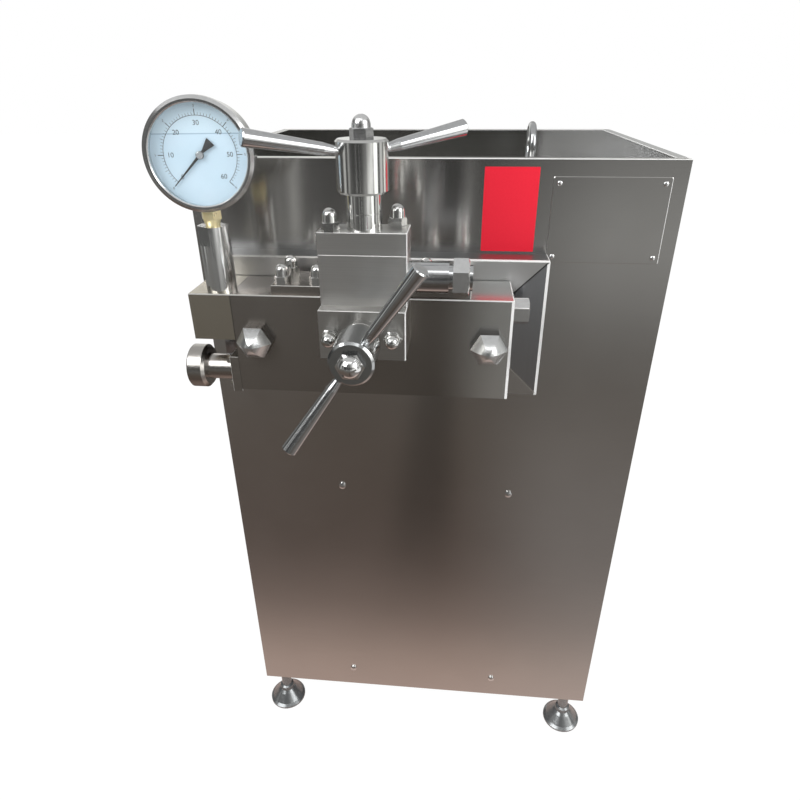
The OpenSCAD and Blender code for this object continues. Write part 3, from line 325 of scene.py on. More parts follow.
def hoodSteel(h):
    # the upright strips are brushed up and down, the level ones sideways; the upright ones are painted
    # darker as shade and the top one lighter as light
    material, shader, coords = newFinish("hoodSteel")
    low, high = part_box("hood_frame")
    middle = [(a + b) / 2 for a, b in zip(low, high)]
    beside = (high[0] - low[0]) / 2 - abs(coords.axis("X") - middle[0])
    above = (high[2] - low[2]) / 2 - abs(coords.axis("Z") - middle[2])
    level = (above - beside) < 0.0
    upperHalf = coords.axis("Z") > middle[2]
    linesAlong, colorAlong = grainShade(coords, h["level"])
    linesUp, colorUp = grainShade(coords, h["upright"])
    color = level.mix(colorUp, colorAlong)
    # the top strip is painted lighter, as light
    litTopStrip = level * upperHalf
    color = litTopStrip.mix(color, h["litTopStrip"])
    # a painted highlight as a bright strip down the right-hand edge of the front
    onRight = (beside < rimLook["hoodWide"]) * (coords.axis("X") > middle[0])
    rim = onRight * (coords.axis("Y") < (low[1] + rimLook["deep"]))
    color = rim.mix(color, rimLook["tone"])
    # the hood's upper face is painted darker, as shade
    shadedUpperFace = coords.axis("Z") > (high[2] - h["upperDeep"])
    color = shadedUpperFace.mix(color, h["shadedUpperFace"])
    # a dark joint runs along the upper mitres; the light line along the lower ones is a painted highlight
    mitreTone = upperHalf.mix(h["highlitLowerMitre"], h["upperMitre"])
    color = abs(above - beside).clamp(*h["mitre"]).mix(mitreTone, color)
    lines = level * linesAlong + (1 - level) * linesUp
    metal = 1 - (1 - h["topMetal"]) * litTopStrip - (1 - rimLook["metal"]) * rim
    rough = lines * 0.05 + level * 0.10 + 0.20
    feed(shader, Base_Color=color, Metallic=metal, Roughness=rough, Normal=brushMarks(lines))
    return material


# painted shade and painted reflection on the inner faces of the recessed top: half a sheet's thickness
# and where the rear one turns bright, in metres
trayPaintedLight = {"halfSheet": 0.0007, "turn": (0.140, 0.166), "dark": (0.22, 0.22, 0.21),
            "bright": (0.95, 0.96, 0.97)}


def traySteel(name, inside, leftTone, rightTone):
    # cabinet steel whose inner face carries painted shade and painted reflection; inside is 1 on that
    # face
    material, shader, coords = newFinish(name)
    lines, color = grainShade(coords, steelLook["cabinet"])
    along = coords.axis("X").clamp(*trayPaintedLight["turn"])
    color = inside(coords).mix(color, along.mix(trayPaintedLight[leftTone], trayPaintedLight[rightTone]))
    feed(shader, Base_Color=color, Metallic=1.0, Roughness=lines * 0.05 + 0.2, Normal=brushMarks(lines))
    return material


def rearInside(coords):
    return coords.axis("Y") < (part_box("rear_panel")[1][1] - trayPaintedLight["halfSheet"])


def rightInside(coords):
    return coords.axis("X") < (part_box("right_panel")[1][0] - trayPaintedLight["halfSheet"])


def polishedSteel():
    # nearly a mirror, with faint turning marks and finger haze
    material, shader, coords = newFinish("polishedSteel")
    marks = coords.scaled((420, 420, 420)).noise(1.0)
    haze = coords.noise(40.0, detail=5.0, rough=0.6)
    color = haze.clamp(0.3, 0.75).mix((0.80, 0.80, 0.80), (0.72, 0.72, 0.71))
    feed(shader, Base_Color=color, Metallic=1.0, Roughness=haze * 0.08 + 0.03)
    feed(shader, Normal=relief(marks, 0.015, 0.0001))
    return material


def turnedBrass():
    material, shader, coords = newFinish("turnedBrass")
    # turning marks round the upright axis, and a little tarnish
    marks = coords.scaled((60, 60, 1500)).noise(1.0)
    tarnish = coords.noise(90.0, detail=4.0, rough=0.6)
    color = tarnish.clamp(0.35, 0.7).mix((1.0, 0.90, 0.56), (0.92, 0.78, 0.44))
    feed(shader, Base_Color=color, Metallic=0.60, Roughness=tarnish * 0.15 + 0.22)
    feed(shader, Normal=relief(marks, 0.05, 0.0001))
    return material


def paintedMetal(name, color, rough=0.45):
    # sprayed enamel with a fine orange-peel surface and slight colour drift
    material, shader, coords = newFinish(name)
    peel = coords.noise(420.0, detail=2.0)
    drift = coords.noise(9.0)
    darker = tuple(0.82 * c for c in color)
    feed(shader, Base_Color=drift.mix(color, darker), Roughness=peel * 0.1 + (rough - 0.05),
         Normal=relief(peel, 0.08, 0.0002))
    return material


def castIron(name, color):
    material, shader, coords = newFinish(name)
    # rough sand-cast skin
    grit = coords.noise(260.0, detail=5.0, rough=0.65)
    drift = coords.noise(12.0)
    darker = tuple(0.7 * c for c in color)
    feed(shader, Base_Color=drift.mix(color, darker), Metallic=0.3, Roughness=grit * 0.2 + 0.5,
         Normal=relief(grit, 0.25, 0.0006))
    return material


def beltRubber():
    material, shader, coords = newFinish("beltRubber")
    weave = coords.noise(600.0, rough=0.6)
    color = weave.mix((0.022, 0.022, 0.022), (0.045, 0.043, 0.04))
    feed(shader, Base_Color=color, Roughness=weave * 0.2 + 0.6, Normal=relief(weave, 0.2, 0.0004))
    return material


# the gauge's filling ends in a level line above the dial's middle, in metres
fillLine = {"above": 0.018, "half": 0.0005}


def dialFace():
    # white enamel seen through a pale blue filling, in soft patches
    material, shader, coords = newFinish("dialFace")
    drift = coords.noise(30.0, detail=2.0)
    color = drift.clamp(0.3, 0.7).mix((0.53, 0.67, 0.765), (0.57, 0.70, 0.795))
    low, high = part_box("gauge_dial")
    above = coords.axis("Z") - ((low[2] + high[2]) / 2 + fillLine["above"])
    color = (above > 0.0).mix(color, (0.58, 0.71, 0.79))
    color = (abs(above) < fillLine["half"]).mix(color, (0.33, 0.46, 0.56))
    feed(shader, Base_Color=color, Roughness=drift * 0.1 + 0.35)
    return material


def plainInk():
    material, shader, coords = newFinish("dialInk")
    drift = coords.noise(200.0, detail=2.0)
    feed(shader, Base_Color=drift.mix((0.015, 0.016, 0.018), (0.035, 0.036, 0.04)), Roughness=0.5)
    return material


def gaugeGlass():
    material, shader, coords = newFinish("gaugeGlass")
    haze = coords.noise(60.0)
    feed(shader, Base_Color=(0.97, 0.99, 1.0), Roughness=haze * 0.02, IOR=1.45)
    feed(shader, Transmission_Weight=1.0)
    return material


def labelRed():
    # printed film: even red with a faint print grain
    material, shader, coords = newFinish("labelRed")
    grain = coords.noise(500.0, detail=2.0)
    color = grain.mix((0.86, 0.012, 0.036), (0.92, 0.018, 0.046))
    feed(shader, Base_Color=color, Roughness=grain * 0.08 + 0.4, Specular_IOR_Level=0.25)
    return material


finish = {
    "cabinet_steel": brushedSteel("cabinetSteel", steelLook["cabinet"]),
    "edge_highlight": brushedSteel("paintedEdgeHighlight", steelLook["edge"]),
    "hood": hoodSteel(hoodLook),
    "rear": traySteel("rearSteel", rearInside, "dark", "bright"),
    "right": traySteel("rightSteel", rightInside, "bright", "bright"),
    "valve": brushedSteel("valveSteel", steelLook["valve"]),
    "satin": brushedSteel("satinSteel", steelLook["satin"]),
    "foot": brushedSteel("footSteel", steelLook["foot"]),
    "first_body": brushedSteel("firstBodyShadeSteel", steelLook["firstBodyShade"]),
    "arm": brushedSteel("armSteel", steelLook["arm"]),
    "stem": brushedSteel("stemSteel", steelLook["stem"]),
    "union": brushedSteel("unionSteel", steelLook["union"]),
    "hub": brushedSteel("hubSteel", steelLook["hub"]),
    "nut": brushedSteel("nutSteel", steelLook["nut"]),
    "nut_cap": brushedSteel("nutCapSteel", steelLook["nutCap"]),
    "nut_side_shade": brushedSteel("nutSideShadeSteel", steelLook["nutSideShade"]),
    "block_steel": brushedSteel("blockSteel", steelLook["block"]),
    "polished_steel": polishedSteel(),
    "bright_steel": brushedSteel("brightSteel", steelLook["bright"]),
    "brass": turnedBrass(),
    "glass": gaugeGlass(),
    "dial_paint": dialFace(),
    "needle_paint": paintedMetal("needlePaint", (0.012, 0.012, 0.012)),
    "frame_paint": paintedMetal("framePaint", (0.25, 0.27, 0.29)),
    "case_paint": castIron("casePaint", (0.10, 0.16, 0.21)),
    "motor_paint": paintedMetal("motorPaint", (0.05, 0.10, 0.22), 0.35),
    "pulley_iron": castIron("pulleyIron", (0.12, 0.12, 0.12)),
    "belt_rubber": beltRubber(),
    "gland_brass": turnedBrass(),
}
slotOf = {part["node"]: part["material_slot"] for part in frame["record"]["subparts"]}
# nodes that don't wear the finish of their slot
ownFinish = {
    "hood_frame": "hood", "rear_panel": "rear", "right_panel": "right", "panel_screws": "satin",
    "feet": "foot", "lifting_eye": "nut", "end_plug": "satin",
    "first_body": "first_body", "first_arms": "arm", "first_hub": "hub",
    "second_body": "valve", "second_cap": "valve", "second_arms": "arm", "second_hub": "bright_steel",
    "second_bonnet": "bright_steel", "second_spindle": "bright_steel", "second_dome_nut": "satin",
    "gauge_stem": "stem", "gauge_bezel": "satin", "inlet_flange": "union", "inlet_union": "union",
    "outlet_pipe": "arm", "outlet_nut": "satin",
}
for nodeName, slotName in slotOf.items():
    piece = nodes[nodeName]
    piece.data.materials.clear()
    piece.data.materials.append(finish[ownFinish.get(nodeName, slotName)])
print("finishes on", len(slotOf), "CAD pieces")


# Bevelled edges with a painted highlight

# widths in mm: level edges, then upright ones on the right
edgeWidth = {
    "pump_block": (1.1, 1.5), "cover_plate": (0.5, 0.5), "first_body": (0.8, 0.9),
    "second_body": (0.7, 0.9), "second_cap": (0.7, 0.9), "inlet_flange": (0.4, 0.4),
    "hood_frame": (1.8, 1.8), "front_panel": (0.8, 0.8), "left_panel": (0.7, 0.7),
    "right_panel": (0.7, 0.7), "rear_panel": (0.5, 0.5), "end_plug": (0.8, 0.8),
}
# folded sheets, whose upright edges stay dull
dullUprights = ["front_panel", "left_panel", "right_panel", "rear_panel"]
# pieces whose rear edges stay dull
dullBehind = ["hood_frame", "pump_block"]
# metres and degrees: points merged, faces taken as flat, edges taken as sharp, long or rear
edgeRule = {"merge": 0.000002, "flat": 0.5, "sharp": 40, "long": 0.006, "rear": 0.004}


def softenEdges(nodeName, width, rule):
    # a merged copy of the solid whose long upper and right-hand edges are rounded and carry a painted
    # highlight
    mesh = nodes[nodeName].data.copy()
    mesh.name = nodeName + "_worn"
    shape = bmesh.new()
    shape.from_mesh(mesh)
    bmesh.ops.remove_doubles(shape, verts=shape.verts, dist=rule["merge"])
    flat = math.radians(rule["flat"])
    bmesh.ops.dissolve_limit(shape, angle_limit=flat, verts=shape.verts, edges=shape.edges)
    weight = shape.edges.layers.float.new("bevel_weight_edge")
    low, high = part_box(nodeName)
    for edge in shape.edges:
        first, second = (corner.co for corner in edge.verts)
        upright = abs(first.z - second.z) > 0.9 * (first - second).length
        leftSide = first.x + second.x < low[0] + high[0]
        underside = any(face.normal.z < -0.5 for face in edge.link_faces)
        behind = nodeName in dullBehind and first.y + second.y > 2 * high[1] - rule["rear"]
        dull = underside or behind or (upright and (leftSide or nodeName in dullUprights))
        sharp = edge.is_manifold and edge.calc_face_angle() > math.radians(rule["sharp"])
        bevelled = sharp and edge.calc_length() > rule["long"] and not dull
        share = width[1 if upright else 0] / max(width)
        edge[weight] = share if bevelled else 0.0
    shape.to_mesh(mesh)
    shape.free()
    mesh.materials.clear()
    mesh.materials.append(finish[ownFinish.get(nodeName, slotOf[nodeName])])
    mesh.materials.append(finish["edge_highlight"])
    piece = bpy.data.objects.new(nodeName + "_worn", mesh)
    bpy.context.scene.collection.objects.link(piece)
    bevel = piece.modifiers.new("paintedEdgeHighlight", "BEVEL")
    bevel.width = max(width) / 1000
    bevel.segments = 2
    bevel.limit_method = "WEIGHT"
    bevel.use_clamp_overlap = False
    bevel.material = 1
    bevel.harden_normals = True
    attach(piece, "machine")
    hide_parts(nodeName)


for nodeName, width in edgeWidth.items():
    softenEdges(nodeName, width, edgeRule)
print("edges worn on", len(edgeWidth), "pieces")


# New surfaces


def addPiece(name, points, faces, material, body="machine", smooth=False):
    mesh = bpy.data.meshes.new(name)
    mesh.from_pydata(points, [], faces)
    mesh.validate()
    mesh.update()
    mesh.materials.append(material)
    mesh.polygons.foreach_set("use_smooth", [smooth] * len(mesh.polygons))
    piece = bpy.data.objects.new(name, mesh)
    bpy.context.scene.collection.objects.link(piece)
    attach(piece, body)
    return piece


def ringFaces(rings, around, start=0):
    # quads between neighbouring rings of points, each ring closed on itself, and a face over either end
    row = np.arange(rings - 1)[:, None] * around
    col = np.arange(around)[None, :]
    after = (col + 1) % around
    quads = np.stack([row + col, row + after, row + around + after, row + around + col], axis=-1)
    first = list(range(start + around - 1, start - 1, -1))
    last = list(range(start + (rings - 1) * around, start + rings * around))
    return (quads.reshape(-1, 4) + start).tolist() + [first, last]


def roundedOutline(width, height, radius, count=64):
    # walks round a rectangle whose corners are quarter circles, as x and z from its middle
    turn = np.linspace(0, 2 * math.pi, count, endpoint=False) + math.pi / count
    corner = np.stack([np.sign(np.cos(turn)), np.sign(np.sin(turn))], axis=1)
    middle = corner * np.array([width / 2 - radius, height / 2 - radius])
    return middle + radius * np.stack([np.cos(turn), np.sin(turn)], axis=1)


def flatPlate(p):
    # rings of one rounded outline: middle of the face, face, worn edge, side, back
    width = p["right"] - p["left"]
    height = p["high"] - p["low"]
    thick = p["thick"]
    outline = roundedOutline(width, height, p["corner"])
    nearlyNone = 0.001
    shrink = np.array([nearlyNone, 1 - 2 * p["edge"] / height, 1.0, 1.0, nearlyNone])
    lift = np.array([thick, thick, thick - p["edge"], 0.0, 0.0])
    flat = outline[None, :, :] * shrink[:, None, None]
    out = np.broadcast_to(lift[:, None], flat.shape[:2])
    center = onPanel((p["left"] + p["right"]) / 2, (p["low"] + p["high"]) / 2, p["gap"])
    return center, np.stack([flat[..., 0], -out, flat[..., 1]], axis=-1) / 1000 + center


def domeRings(radius, height, rings=6, around=20):
    # part of a ball: radius falls as a cosine while the height rises as a sine
    angle = np.linspace(0, 0.5 * math.pi * 0.999, rings)
    turn = np.linspace(0, 2 * math.pi, around, endpoint=False)
    r = radius * np.cos(angle)[:, None]
    out = np.broadcast_to((height * np.sin(angle))[:, None], (rings, around))
    return np.stack([r * np.cos(turn), -out, r * np.sin(turn)], axis=-1)


# places on the front panel and sizes in mm; gap is the glue behind the plate or label
namePlate = {
    "left": 127, "right": 245, "low": 710, "high": 798,
    # the right-hand edge's painted highlight is 0.6 mm wide
    "thick": 0.8, "corner": 1.5, "edge": 0.5, "gap": 0.05, "paintedGlint": 0.6,
    "rivetInset": 6.5, "rivetRadius": 2.8, "rivetHeight": 1.5,
}
plainLabel = {
    "left": 57, "right": 113, "low": 721, "high": 807,
    "thick": 0.15, "corner": 1.0, "edge": 0.05, "gap": 0.05,
}


def makeNamePlate(p):
    center, rings = flatPlate(p)
    width = p["right"] - p["left"]
    height = p["high"] - p["low"]
    faces = ringFaces(*rings.shape[:2])
    plate = addPiece("name_plate", rings.reshape(-1, 3), faces, finish["cabinet_steel"])
    # the right-hand edge carries a painted highlight
    plate.data.materials.append(finish["edge_highlight"])
    for face in plate.data.polygons:
        if face.center.x > center[0] + (width / 2 - p["paintedGlint"]) / 1000:
            face.material_index = 1
    rivet = domeRings(p["rivetRadius"], p["rivetHeight"]) / 1000
    rings, around = rivet.shape[:2]
    inset = np.array([width / 2 - p["rivetInset"], -p["thick"], height / 2 - p["rivetInset"]])
    points = []
    faces = []
    for sx in (-1, 1):
        for sz in (-1, 1):
            spot = center + inset * np.array([sx, 1, sz]) / 1000
            faces += ringFaces(rings, around, rings * around * len(points))
            points.append((rivet + spot).reshape(-1, 3))
    addPiece("plate_rivets", np.concatenate(points), faces, finish["satin"],
             smooth=True)


def makeLabel(p):
    rings = flatPlate(p)[1]
    faces = ringFaces(*rings.shape[:2])
    addPiece("plain_label", rings.reshape(-1, 3), faces, labelRed())


makeNamePlate(namePlate)
makeLabel(plainLabel)
print("plate and label made")


# angles in degrees and lengths in mm; the dial turns with the gauge on its stem
dialMarks = {
    "turn": 8, "start": 225, "sweep": 270, "top": 60, "thick": 1.0, "lift": 0.08,
    "arc": 33.5, "arcWide": 0.45, "arcSteps": 90,
    "long": 5.0, "mid": 3.4, "short": 2.2, "longHalf": 0.32, "shortHalf": 0.16,
    "numbers": [{"name": "dial_number", "step": 10, "part": 1, "radius": 27.0, "size": 6.0},
                {"name": "dial_small_number", "step": 10, "part": 10, "radius": 40.8, "size": 3.2}],
}


def onDial(d, flat, out=0.0):
    # points in the dial's plane, x to the right and y up in mm, put on the turned dial or out from it
    low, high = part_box("gauge_dial")
    middle = (np.array(low) + np.array(high)) / 2
    t = math.radians(d["turn"])
    right = np.array([math.cos(t), math.sin(t), 0])
    front = np.array([math.sin(t), -math.cos(t), 0])
    flat = np.asarray(flat) / 1000
    face = middle + front * (d["thick"] / 2 + d["lift"]) / 1000
    forward = np.asarray(out)[..., None] / 1000 * front
    return face + flat[..., :1] * right + flat[..., 1:] * np.array([0, 0, 1]) + forward


def makeDialMarks(d):
    # radial bars that stand on a thin arc; long bars at every tenth number
    value = np.arange(0, d["top"] + 1)
    angle = np.radians(d["start"] - d["sweep"] * value / d["top"])
    long = value % 10 == 0
    length = np.where(long, d["long"], np.where(value % 5 == 0, d["mid"], d["short"]))
    ray = np.stack([np.cos(angle), np.sin(angle)], axis=1)
    side = np.stack([-np.sin(angle), np.cos(angle)], axis=1)
    half = np.where(long, d["longHalf"], d["shortHalf"])[:, None] * side
    inner = d["arc"] * ray
    outer = (d["arc"] + length)[:, None] * ray
    bars = np.stack([inner - half, inner + half, outer + half, outer - half], axis=1)
    steps = d["arcSteps"]
    bend = np.radians(d["start"] - d["sweep"] * np.linspace(0, 1, steps + 1))
    arcRay = np.stack([np.cos(bend), np.sin(bend)], axis=1)
    arc = np.concatenate([(d["arc"] - d["arcWide"]) * arcRay, d["arc"] * arcRay])
    step = np.arange(steps)
    arcFaces = np.stack([step, step + steps + 1, step + steps + 2, step + 1], axis=1)
    ink = plainInk()
    barFaces = np.arange(4 * len(value)).reshape(-1, 4)
    points = onDial(d, np.concatenate([bars.reshape(-1, 2), arc]))
    faces = barFaces.tolist() + (arcFaces + 4 * len(value)).tolist()
    addPiece("dial_ticks", points, faces, ink)
    for row in d["numbers"]:
        for number in range(0, d["top"] + 1, row["step"]):
            addNumber(d, row, number, ink)


def addNumber(d, row, number, ink):
    words = bpy.data.curves.new("dialNumber", "FONT")
    words.body = str(number // row["part"])
    words.size = row["size"]
    words.align_x = "CENTER"
    words.align_y = "CENTER"
    holder = bpy.data.objects.new("dialNumber", words)
    bpy.context.scene.collection.objects.link(holder)
    bpy.context.view_layer.update()
    shaped = holder.evaluated_get(bpy.context.evaluated_depsgraph_get())
    mesh = bpy.data.meshes.new_from_object(shaped)
    bpy.data.objects.remove(holder)
    a = math.radians(d["start"] - d["sweep"] * number / d["top"])
    flat = np.empty(3 * len(mesh.vertices))
    mesh.vertices.foreach_get("co", flat)
    flat = flat.reshape(-1, 3)[:, :2] + row["radius"] * np.array([math.cos(a), math.sin(a)])
    mesh.vertices.foreach_set("co", onDial(d, flat).ravel())
    mesh.update()
    mesh.materials.clear()
    mesh.materials.append(ink)
    piece = bpy.data.objects.new(row["name"] + "_" + str(number), mesh)
    bpy.context.scene.collection.objects.link(piece)
    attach(piece, "machine")


# a low steel cap on the needle's hub, radius, height and distance from the dial in mm
needleCap = {"radius": 3.4, "height": 0.6, "stand": 3.1}


def makeNeedleCap(p, d):
    dome = domeRings(p["radius"], p["height"])
    points = onDial(d, dome[..., [0, 2]], p["stand"] - dome[..., 1]).reshape(-1, 3)
    faces = ringFaces(*dome.shape[:2])
    addPiece("needle_cap", points, faces, finish["hub"], "needle", smooth=True)


makeDialMarks(dialMarks)
makeNeedleCap(needleCap, dialMarks)
# lamps light the dial through the glass
nodes["gauge_glass"].visible_shadow = False
print("dial marks made")


# Big nuts of the block, whose six sides run up into a blunt point

# lengths in mm, and the ridges' least angle in degrees
bigNut = {"flats": 32, "sideHigh": 9.6, "capHigh": 15, "tip": 0.03, "taper": 1.75, "perSide": 8,
          "capRings": 14, "ridge": 12}


def makeBigNuts(p):
    # a hexagon, flat on top, that shrinks evenly while its height closes as a power of the shrink;
    # it is round at the point
    turn = np.linspace(0, 2 * math.pi, 6 * p["perSide"], endpoint=False)
    fromFlat = (turn - math.pi / 2 + math.pi / 6) % (math.pi / 3) - math.pi / 6
    hexagon = p["flats"] / 2 / np.cos(fromFlat)
    shrink = np.linspace(1, p["tip"], p["capRings"])
    blunt = (1 - shrink[:, None]) ** 3
    cap = (hexagon * (1 - blunt) + p["flats"] / 2 * blunt) * shrink[:, None]
    radius = np.concatenate([hexagon[None, :], cap])
    out = np.concatenate([[0.0], p["sideHigh"] + p["capHigh"] * (1 - shrink ** p["taper"])])
    out = np.broadcast_to(out[:, None], radius.shape)
    nut = np.stack([radius * np.cos(turn), -out, radius * np.sin(turn)], axis=-1) / 1000
    low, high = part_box("block_nuts")
    half = p["flats"] / 2000 / math.cos(math.pi / 6)
    rings, around = radius.shape
    places = [[x, high[1], (low[2] + high[2]) / 2] for x in (low[0] + half, high[0] - half)]
    points = np.concatenate([(nut + np.array(spot)).reshape(-1, 3) for spot in places])
    faces = ringFaces(rings, around) + ringFaces(rings, around, rings * around)
    piece = addPiece("block_nuts_pointed", points, faces, finish["nut_cap"],
                     smooth=True)
    # the six flats carry a painted shade, far darker and slightly rougher than the cap
    piece.data.materials.append(finish["nut_side_shade"])
    for face in piece.data.polygons:
        if face.center.y > high[1] - p["sideHigh"] / 1000:
            face.material_index = 1
    piece.data.set_sharp_from_angle(angle=math.radians(p["ridge"]))
    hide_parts("block_nuts")


makeBigNuts(bigNut)
print("big nuts made")


# Stage and light

studio = {
    "ambient": 0.55,
    "lamps": [
        {"name": "keyLamp", "place": (-1.7, -1.9, 2.5), "size": 1.9, "power": 50},
        {"name": "fillLamp", "place": (2.3, -1.3, 1.9), "size": 1.7, "power": 26},
        {"name": "topLamp", "place": (0.3, 0.9, 2.8), "size": 1.3, "power": 20, "mirrored": False},
    ],
    "lampAim": (0, 0, 0.6),
    # pale floor: half its width, its paint, and how far it glows by itself where it is seen
    "floor": {"half": 12.0, "paint": (0.86, 0.86, 0.86, 1), "glow": 1.04, "share": 0.95},
    # the room that polished metal sees: half its width, its height and its ceiling
    "away": 3.4,
    "height": 3.2,
    "ceiling": (0.60, 0.60, 0.595),
    # floor tones by distance from the cabinet, in parts of the way to the wall
    "floorTones": [(0.00, (0.66, 0.50, 0.44)), (0.03, (0.57, 0.43, 0.37)), (0.07, (0.255, 0.194, 0.169)),
                   (0.12, (0.122, 0.094, 0.081)), (0.30, (0.128, 0.106, 0.089)),
                   (0.55, (0.15, 0.145, 0.135)), (1.00, (0.20, 0.20, 0.195))],
    "floorLift": 0.0015,
    # the floor is lighter on the right, close by and far off
    "nearLight": {"x": (0.0, 0.35), "far": (0.15, 0.45), "share": 0.19},
    "farLight": {"x": (0.1, 0.9), "far": (0.5, 0.95), "share": 0.6},
    "lightTone": (0.75, 0.75, 0.74),
    # a soft dark strip runs away from the middle
    "strip": {"x": -0.03, "wide": (0.02, 0.12), "far": (0.05, 0.2), "share": 0.45,
              "tone": (0.02, 0.018, 0.016)},
    # bright cards: middle, half width along x, half depth along y, tone
    "cards": [
        {"name": "ceilingLamp", "middle": (0.0, -1.7, 3.15), "half": (1.0, 0.3), "tone": (2.6, 2.6, 2.6)},
        {"name": "sunnyFloor", "middle": (1.9, -0.1, 0.02), "half": (1.0, 1.0), "tone": (1.0, 1.0, 0.99)},
    ],
    # tones along each wall, from left to right as seen from the cabinet's middle, in parts of its width;
    # keep is the part of them left between knee height and head height
    "walls": [
        {"name": "wallFront", "turn": 270, "keep": 0.35,
         "tones": [(0.00, 0.15), (0.30, 0.08), (0.308, 0.07), (0.312, 1.00), (0.316, 0.06),
                   (0.328, 0.05), (0.332, 0.80), (0.336, 0.06), (0.343, 0.08), (0.348, 1.40),
                   (0.353, 0.09), (0.44, 0.08), (0.457, 0.08), (0.463, 1.50), (0.468, 0.05),
                   (0.479, 0.04), (0.482, 0.50), (0.485, 0.04), (0.508, 0.04), (0.512, 0.75),
                   (0.516, 0.07), (0.54, 0.16), (0.56, 0.20), (0.64, 0.40), (0.72, 0.45),
                   (0.77, 1.00), (0.90, 1.30), (1.00, 1.30)]},
        {"name": "wallRight", "turn": 0, "keep": 1.0,
         "tones": [(0.00, 1.20), (0.10, 1.00), (0.12, 0.15), (0.15, 0.15), (0.18, 2.20),
                   (0.32, 2.20), (0.35, 0.06), (0.44, 0.06), (0.47, 0.7), (0.58, 0.7),
                   (0.62, 0.10), (1.00, 0.3)]},
        {"name": "wallRear", "turn": 90, "keep": 1.0,
         "tones": [(0.0, 0.5), (0.3, 0.45), (0.52, 0.40), (0.60, 0.9), (0.80, 0.9), (1.0, 0.3)]},
        {"name": "wallLeft", "turn": 180, "keep": 1.0,
         "tones": [(0.00, 0.3), (0.40, 0.20), (0.45, 0.08), (0.60, 0.07), (0.64, 0.6),
                   (0.72, 0.6), (0.75, 0.06), (0.84, 0.06), (0.88, 0.5), (1.00, 0.2)]},
    ],
    "wallBlue": 0.97,
    "knee": (0.35, 0.5),
    "head": (1.3, 1.7),
    "dimTone": (0.03, 0.03, 0.03),
}


def lightPathMask(tree):
    # 1 where the camera sees it, straight, in a mirror or through glass
    path = tree.nodes.new("ShaderNodeLightPath")
    camera = Wire(tree, path.outputs["Is Camera Ray"])
    glossy = Wire(tree, path.outputs["Is Glossy Ray"])
    through = Wire(tree, path.outputs["Is Transmission Ray"])
    return camera.math("MAXIMUM", camera.math("MAXIMUM", camera, glossy), through)


def makeWorld(s):
    world = bpy.data.worlds.new("paleRoom")
    bpy.context.scene.world = world
    world.use_nodes = True
    tree = world.node_tree
    seen = lightPathMask(tree)
    strength = seen * (1 - s["ambient"]) + s["ambient"]
    tree.nodes["Background"].inputs["Color"].default_value = (1, 1, 1, 1)
    tree.links.new(strength.socket, tree.nodes["Background"].inputs["Strength"])


def addStage(name, corners, material):
    mesh = bpy.data.meshes.new(name)
    mesh.from_pydata(corners, [], [[0, 1, 2, 3]])
    mesh.materials.append(material)
    piece = bpy.data.objects.new(name, mesh)
    bpy.context.scene.collection.objects.link(piece)
    return piece


def emptyFinish(name):
    material = bpy.data.materials.new(name)
    material.use_nodes = True
    material.node_tree.nodes.clear()
    return material, material.node_tree


def showSurface(shader):
    output = shader.tree.nodes.new("ShaderNodeOutputMaterial")
    shader.tree.links.new(shader.socket, output.inputs["Surface"])


flatSquare = np.array([[-1, -1, 0], [1, -1, 0], [1, 1, 0], [-1, 1, 0]])


def makeFloor(f):
    material, tree = emptyFinish("paleFloor")
    matt = Wire(tree, tree.nodes.new("ShaderNodeBsdfDiffuse").outputs[0])
    matt.socket.node.inputs["Color"].default_value = f["paint"]
    glow = matt.node("ShaderNodeEmission", None, {"Color": (1, 1, 1, 1), "Strength": f["glow"]})
    factor = lightPathMask(tree) * f["share"]
    showSurface(matt.node("ShaderNodeMixShader", None, {0: factor, 1: matt, 2: glow}))
    addStage("paleFloor", flatSquare * f["half"], material)


def onlyInReflections(piece):
    piece.visible_camera = False
    piece.visible_diffuse = False
    piece.visible_transmission = False
    piece.visible_shadow = False


def glowFinish(name, tone):
    # tone is one colour, or a function that works it out from Object coordinates
    material, tree = emptyFinish(name)
    coords = Wire(tree, tree.nodes.new("ShaderNodeTexCoord").outputs["Object"])
    color = tone(coords) if callable(tone) else (*tone, 1)
    showSurface(coords.node("ShaderNodeEmission", None, {"Color": color, "Strength": 1.0}))
    return material


def addMirrored(name, corners, tone):
    onlyInReflections(addStage(name, corners, glowFinish(name, tone)))


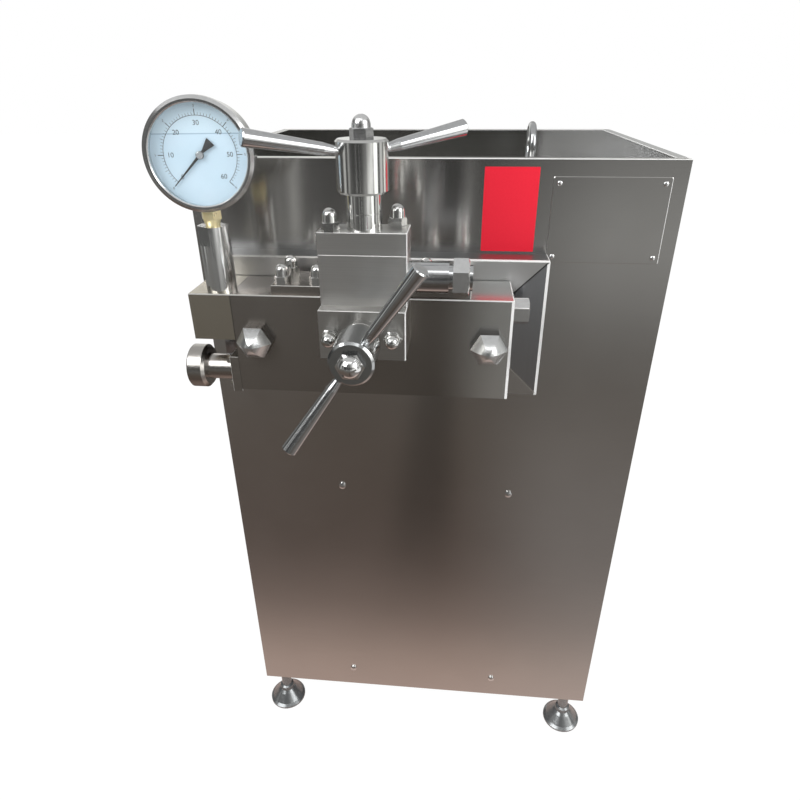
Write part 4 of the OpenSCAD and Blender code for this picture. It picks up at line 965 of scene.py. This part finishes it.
def makeRoomTones(s):
    # a closed room that only polished metal sees
    low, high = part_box("base_plate")
    away = s["away"]

    def floorTone(coords):
        # the tone follows the distance from the cabinet's sides
        x = coords.axis("X")
        beside = abs(x) - high[0]
        behind = abs(coords.axis("Y") - (low[1] + high[1]) / 2) - (high[1] - low[1]) / 2
        far = coords.math("MAXIMUM", beside, behind) / away
        tone = far.node("ShaderNodeValToRGB", {"stops": s["floorTones"]}, {0: far})
        near, distant, strip = s["nearLight"], s["farLight"], s["strip"]
        lit = x.clamp(*near["x"]) * (1 - far.clamp(*near["far"])) * near["share"]
        lit = lit + x.clamp(*distant["x"]) * far.clamp(*distant["far"]) * distant["share"]
        inStrip = 1 - abs(x - strip["x"]).clamp(*strip["wide"])
        dark = inStrip * far.clamp(*strip["far"]) * strip["share"]
        return dark.mix(lit.mix(tone, s["lightTone"]), strip["tone"])

    addMirrored("floorTones", flatSquare * away + np.array([0, 0, s["floorLift"]]), floorTone)
    addMirrored("ceilingTone", flatSquare * away + np.array([0, 0, s["height"]]), s["ceiling"])
    for card in s["cards"]:
        corners = flatSquare * np.array([*card["half"], 0]) + np.array(card["middle"])
        addMirrored(card["name"], corners, card["tone"])
    for wall in s["walls"]:
        a = math.radians(wall["turn"])
        out = np.array([math.cos(a), math.sin(a), 0]) * away
        along = np.array([-math.sin(a), math.cos(a), 0]) * away
        tall = np.array([0, 0, s["height"]])

        def wallTone(coords, along=along, wall=wall):
            # tones change along the wall; it may be dimmer between knee height and head height
            reach = coords.axis("X") * float(along[0]) + coords.axis("Y") * float(along[1])
            place = reach / (2 * away * away) + 0.5
            stops = [(spot, (tone, tone, s["wallBlue"] * tone)) for spot, tone in wall["tones"]]
            tone = place.node("ShaderNodeValToRGB", {"stops": stops}, {0: place})
            z = coords.axis("Z")
            shade = z.clamp(*s["knee"]) * (1 - z.clamp(*s["head"])) * (1 - wall["keep"])
            return shade.mix(tone, s["dimTone"])

        corners = np.array([out - along, out + along, out + along + tall, out - along + tall])
        addMirrored(wall["name"], corners, wallTone)


def makeLamps(s):
    for lamp in s["lamps"]:
        light = bpy.data.lights.new(lamp["name"], "AREA")
        light.shape = "SQUARE"
        light.size = lamp["size"]
        light.energy = lamp["power"]
        holder = bpy.data.objects.new(lamp["name"], light)
        holder.location = lamp["place"]
        aim = mathutils.Vector(s["lampAim"]) - holder.location
        holder.rotation_euler = aim.to_track_quat("-Z", "Y").to_euler()
        holder.visible_glossy = lamp.get("mirrored", True)
        bpy.context.scene.collection.objects.link(holder)


makeWorld(studio)
makeFloor(studio["floor"])
makeRoomTones(studio)
makeLamps(studio)
bpy.context.scene.view_settings.view_transform = "Standard"
print("stage and light set")
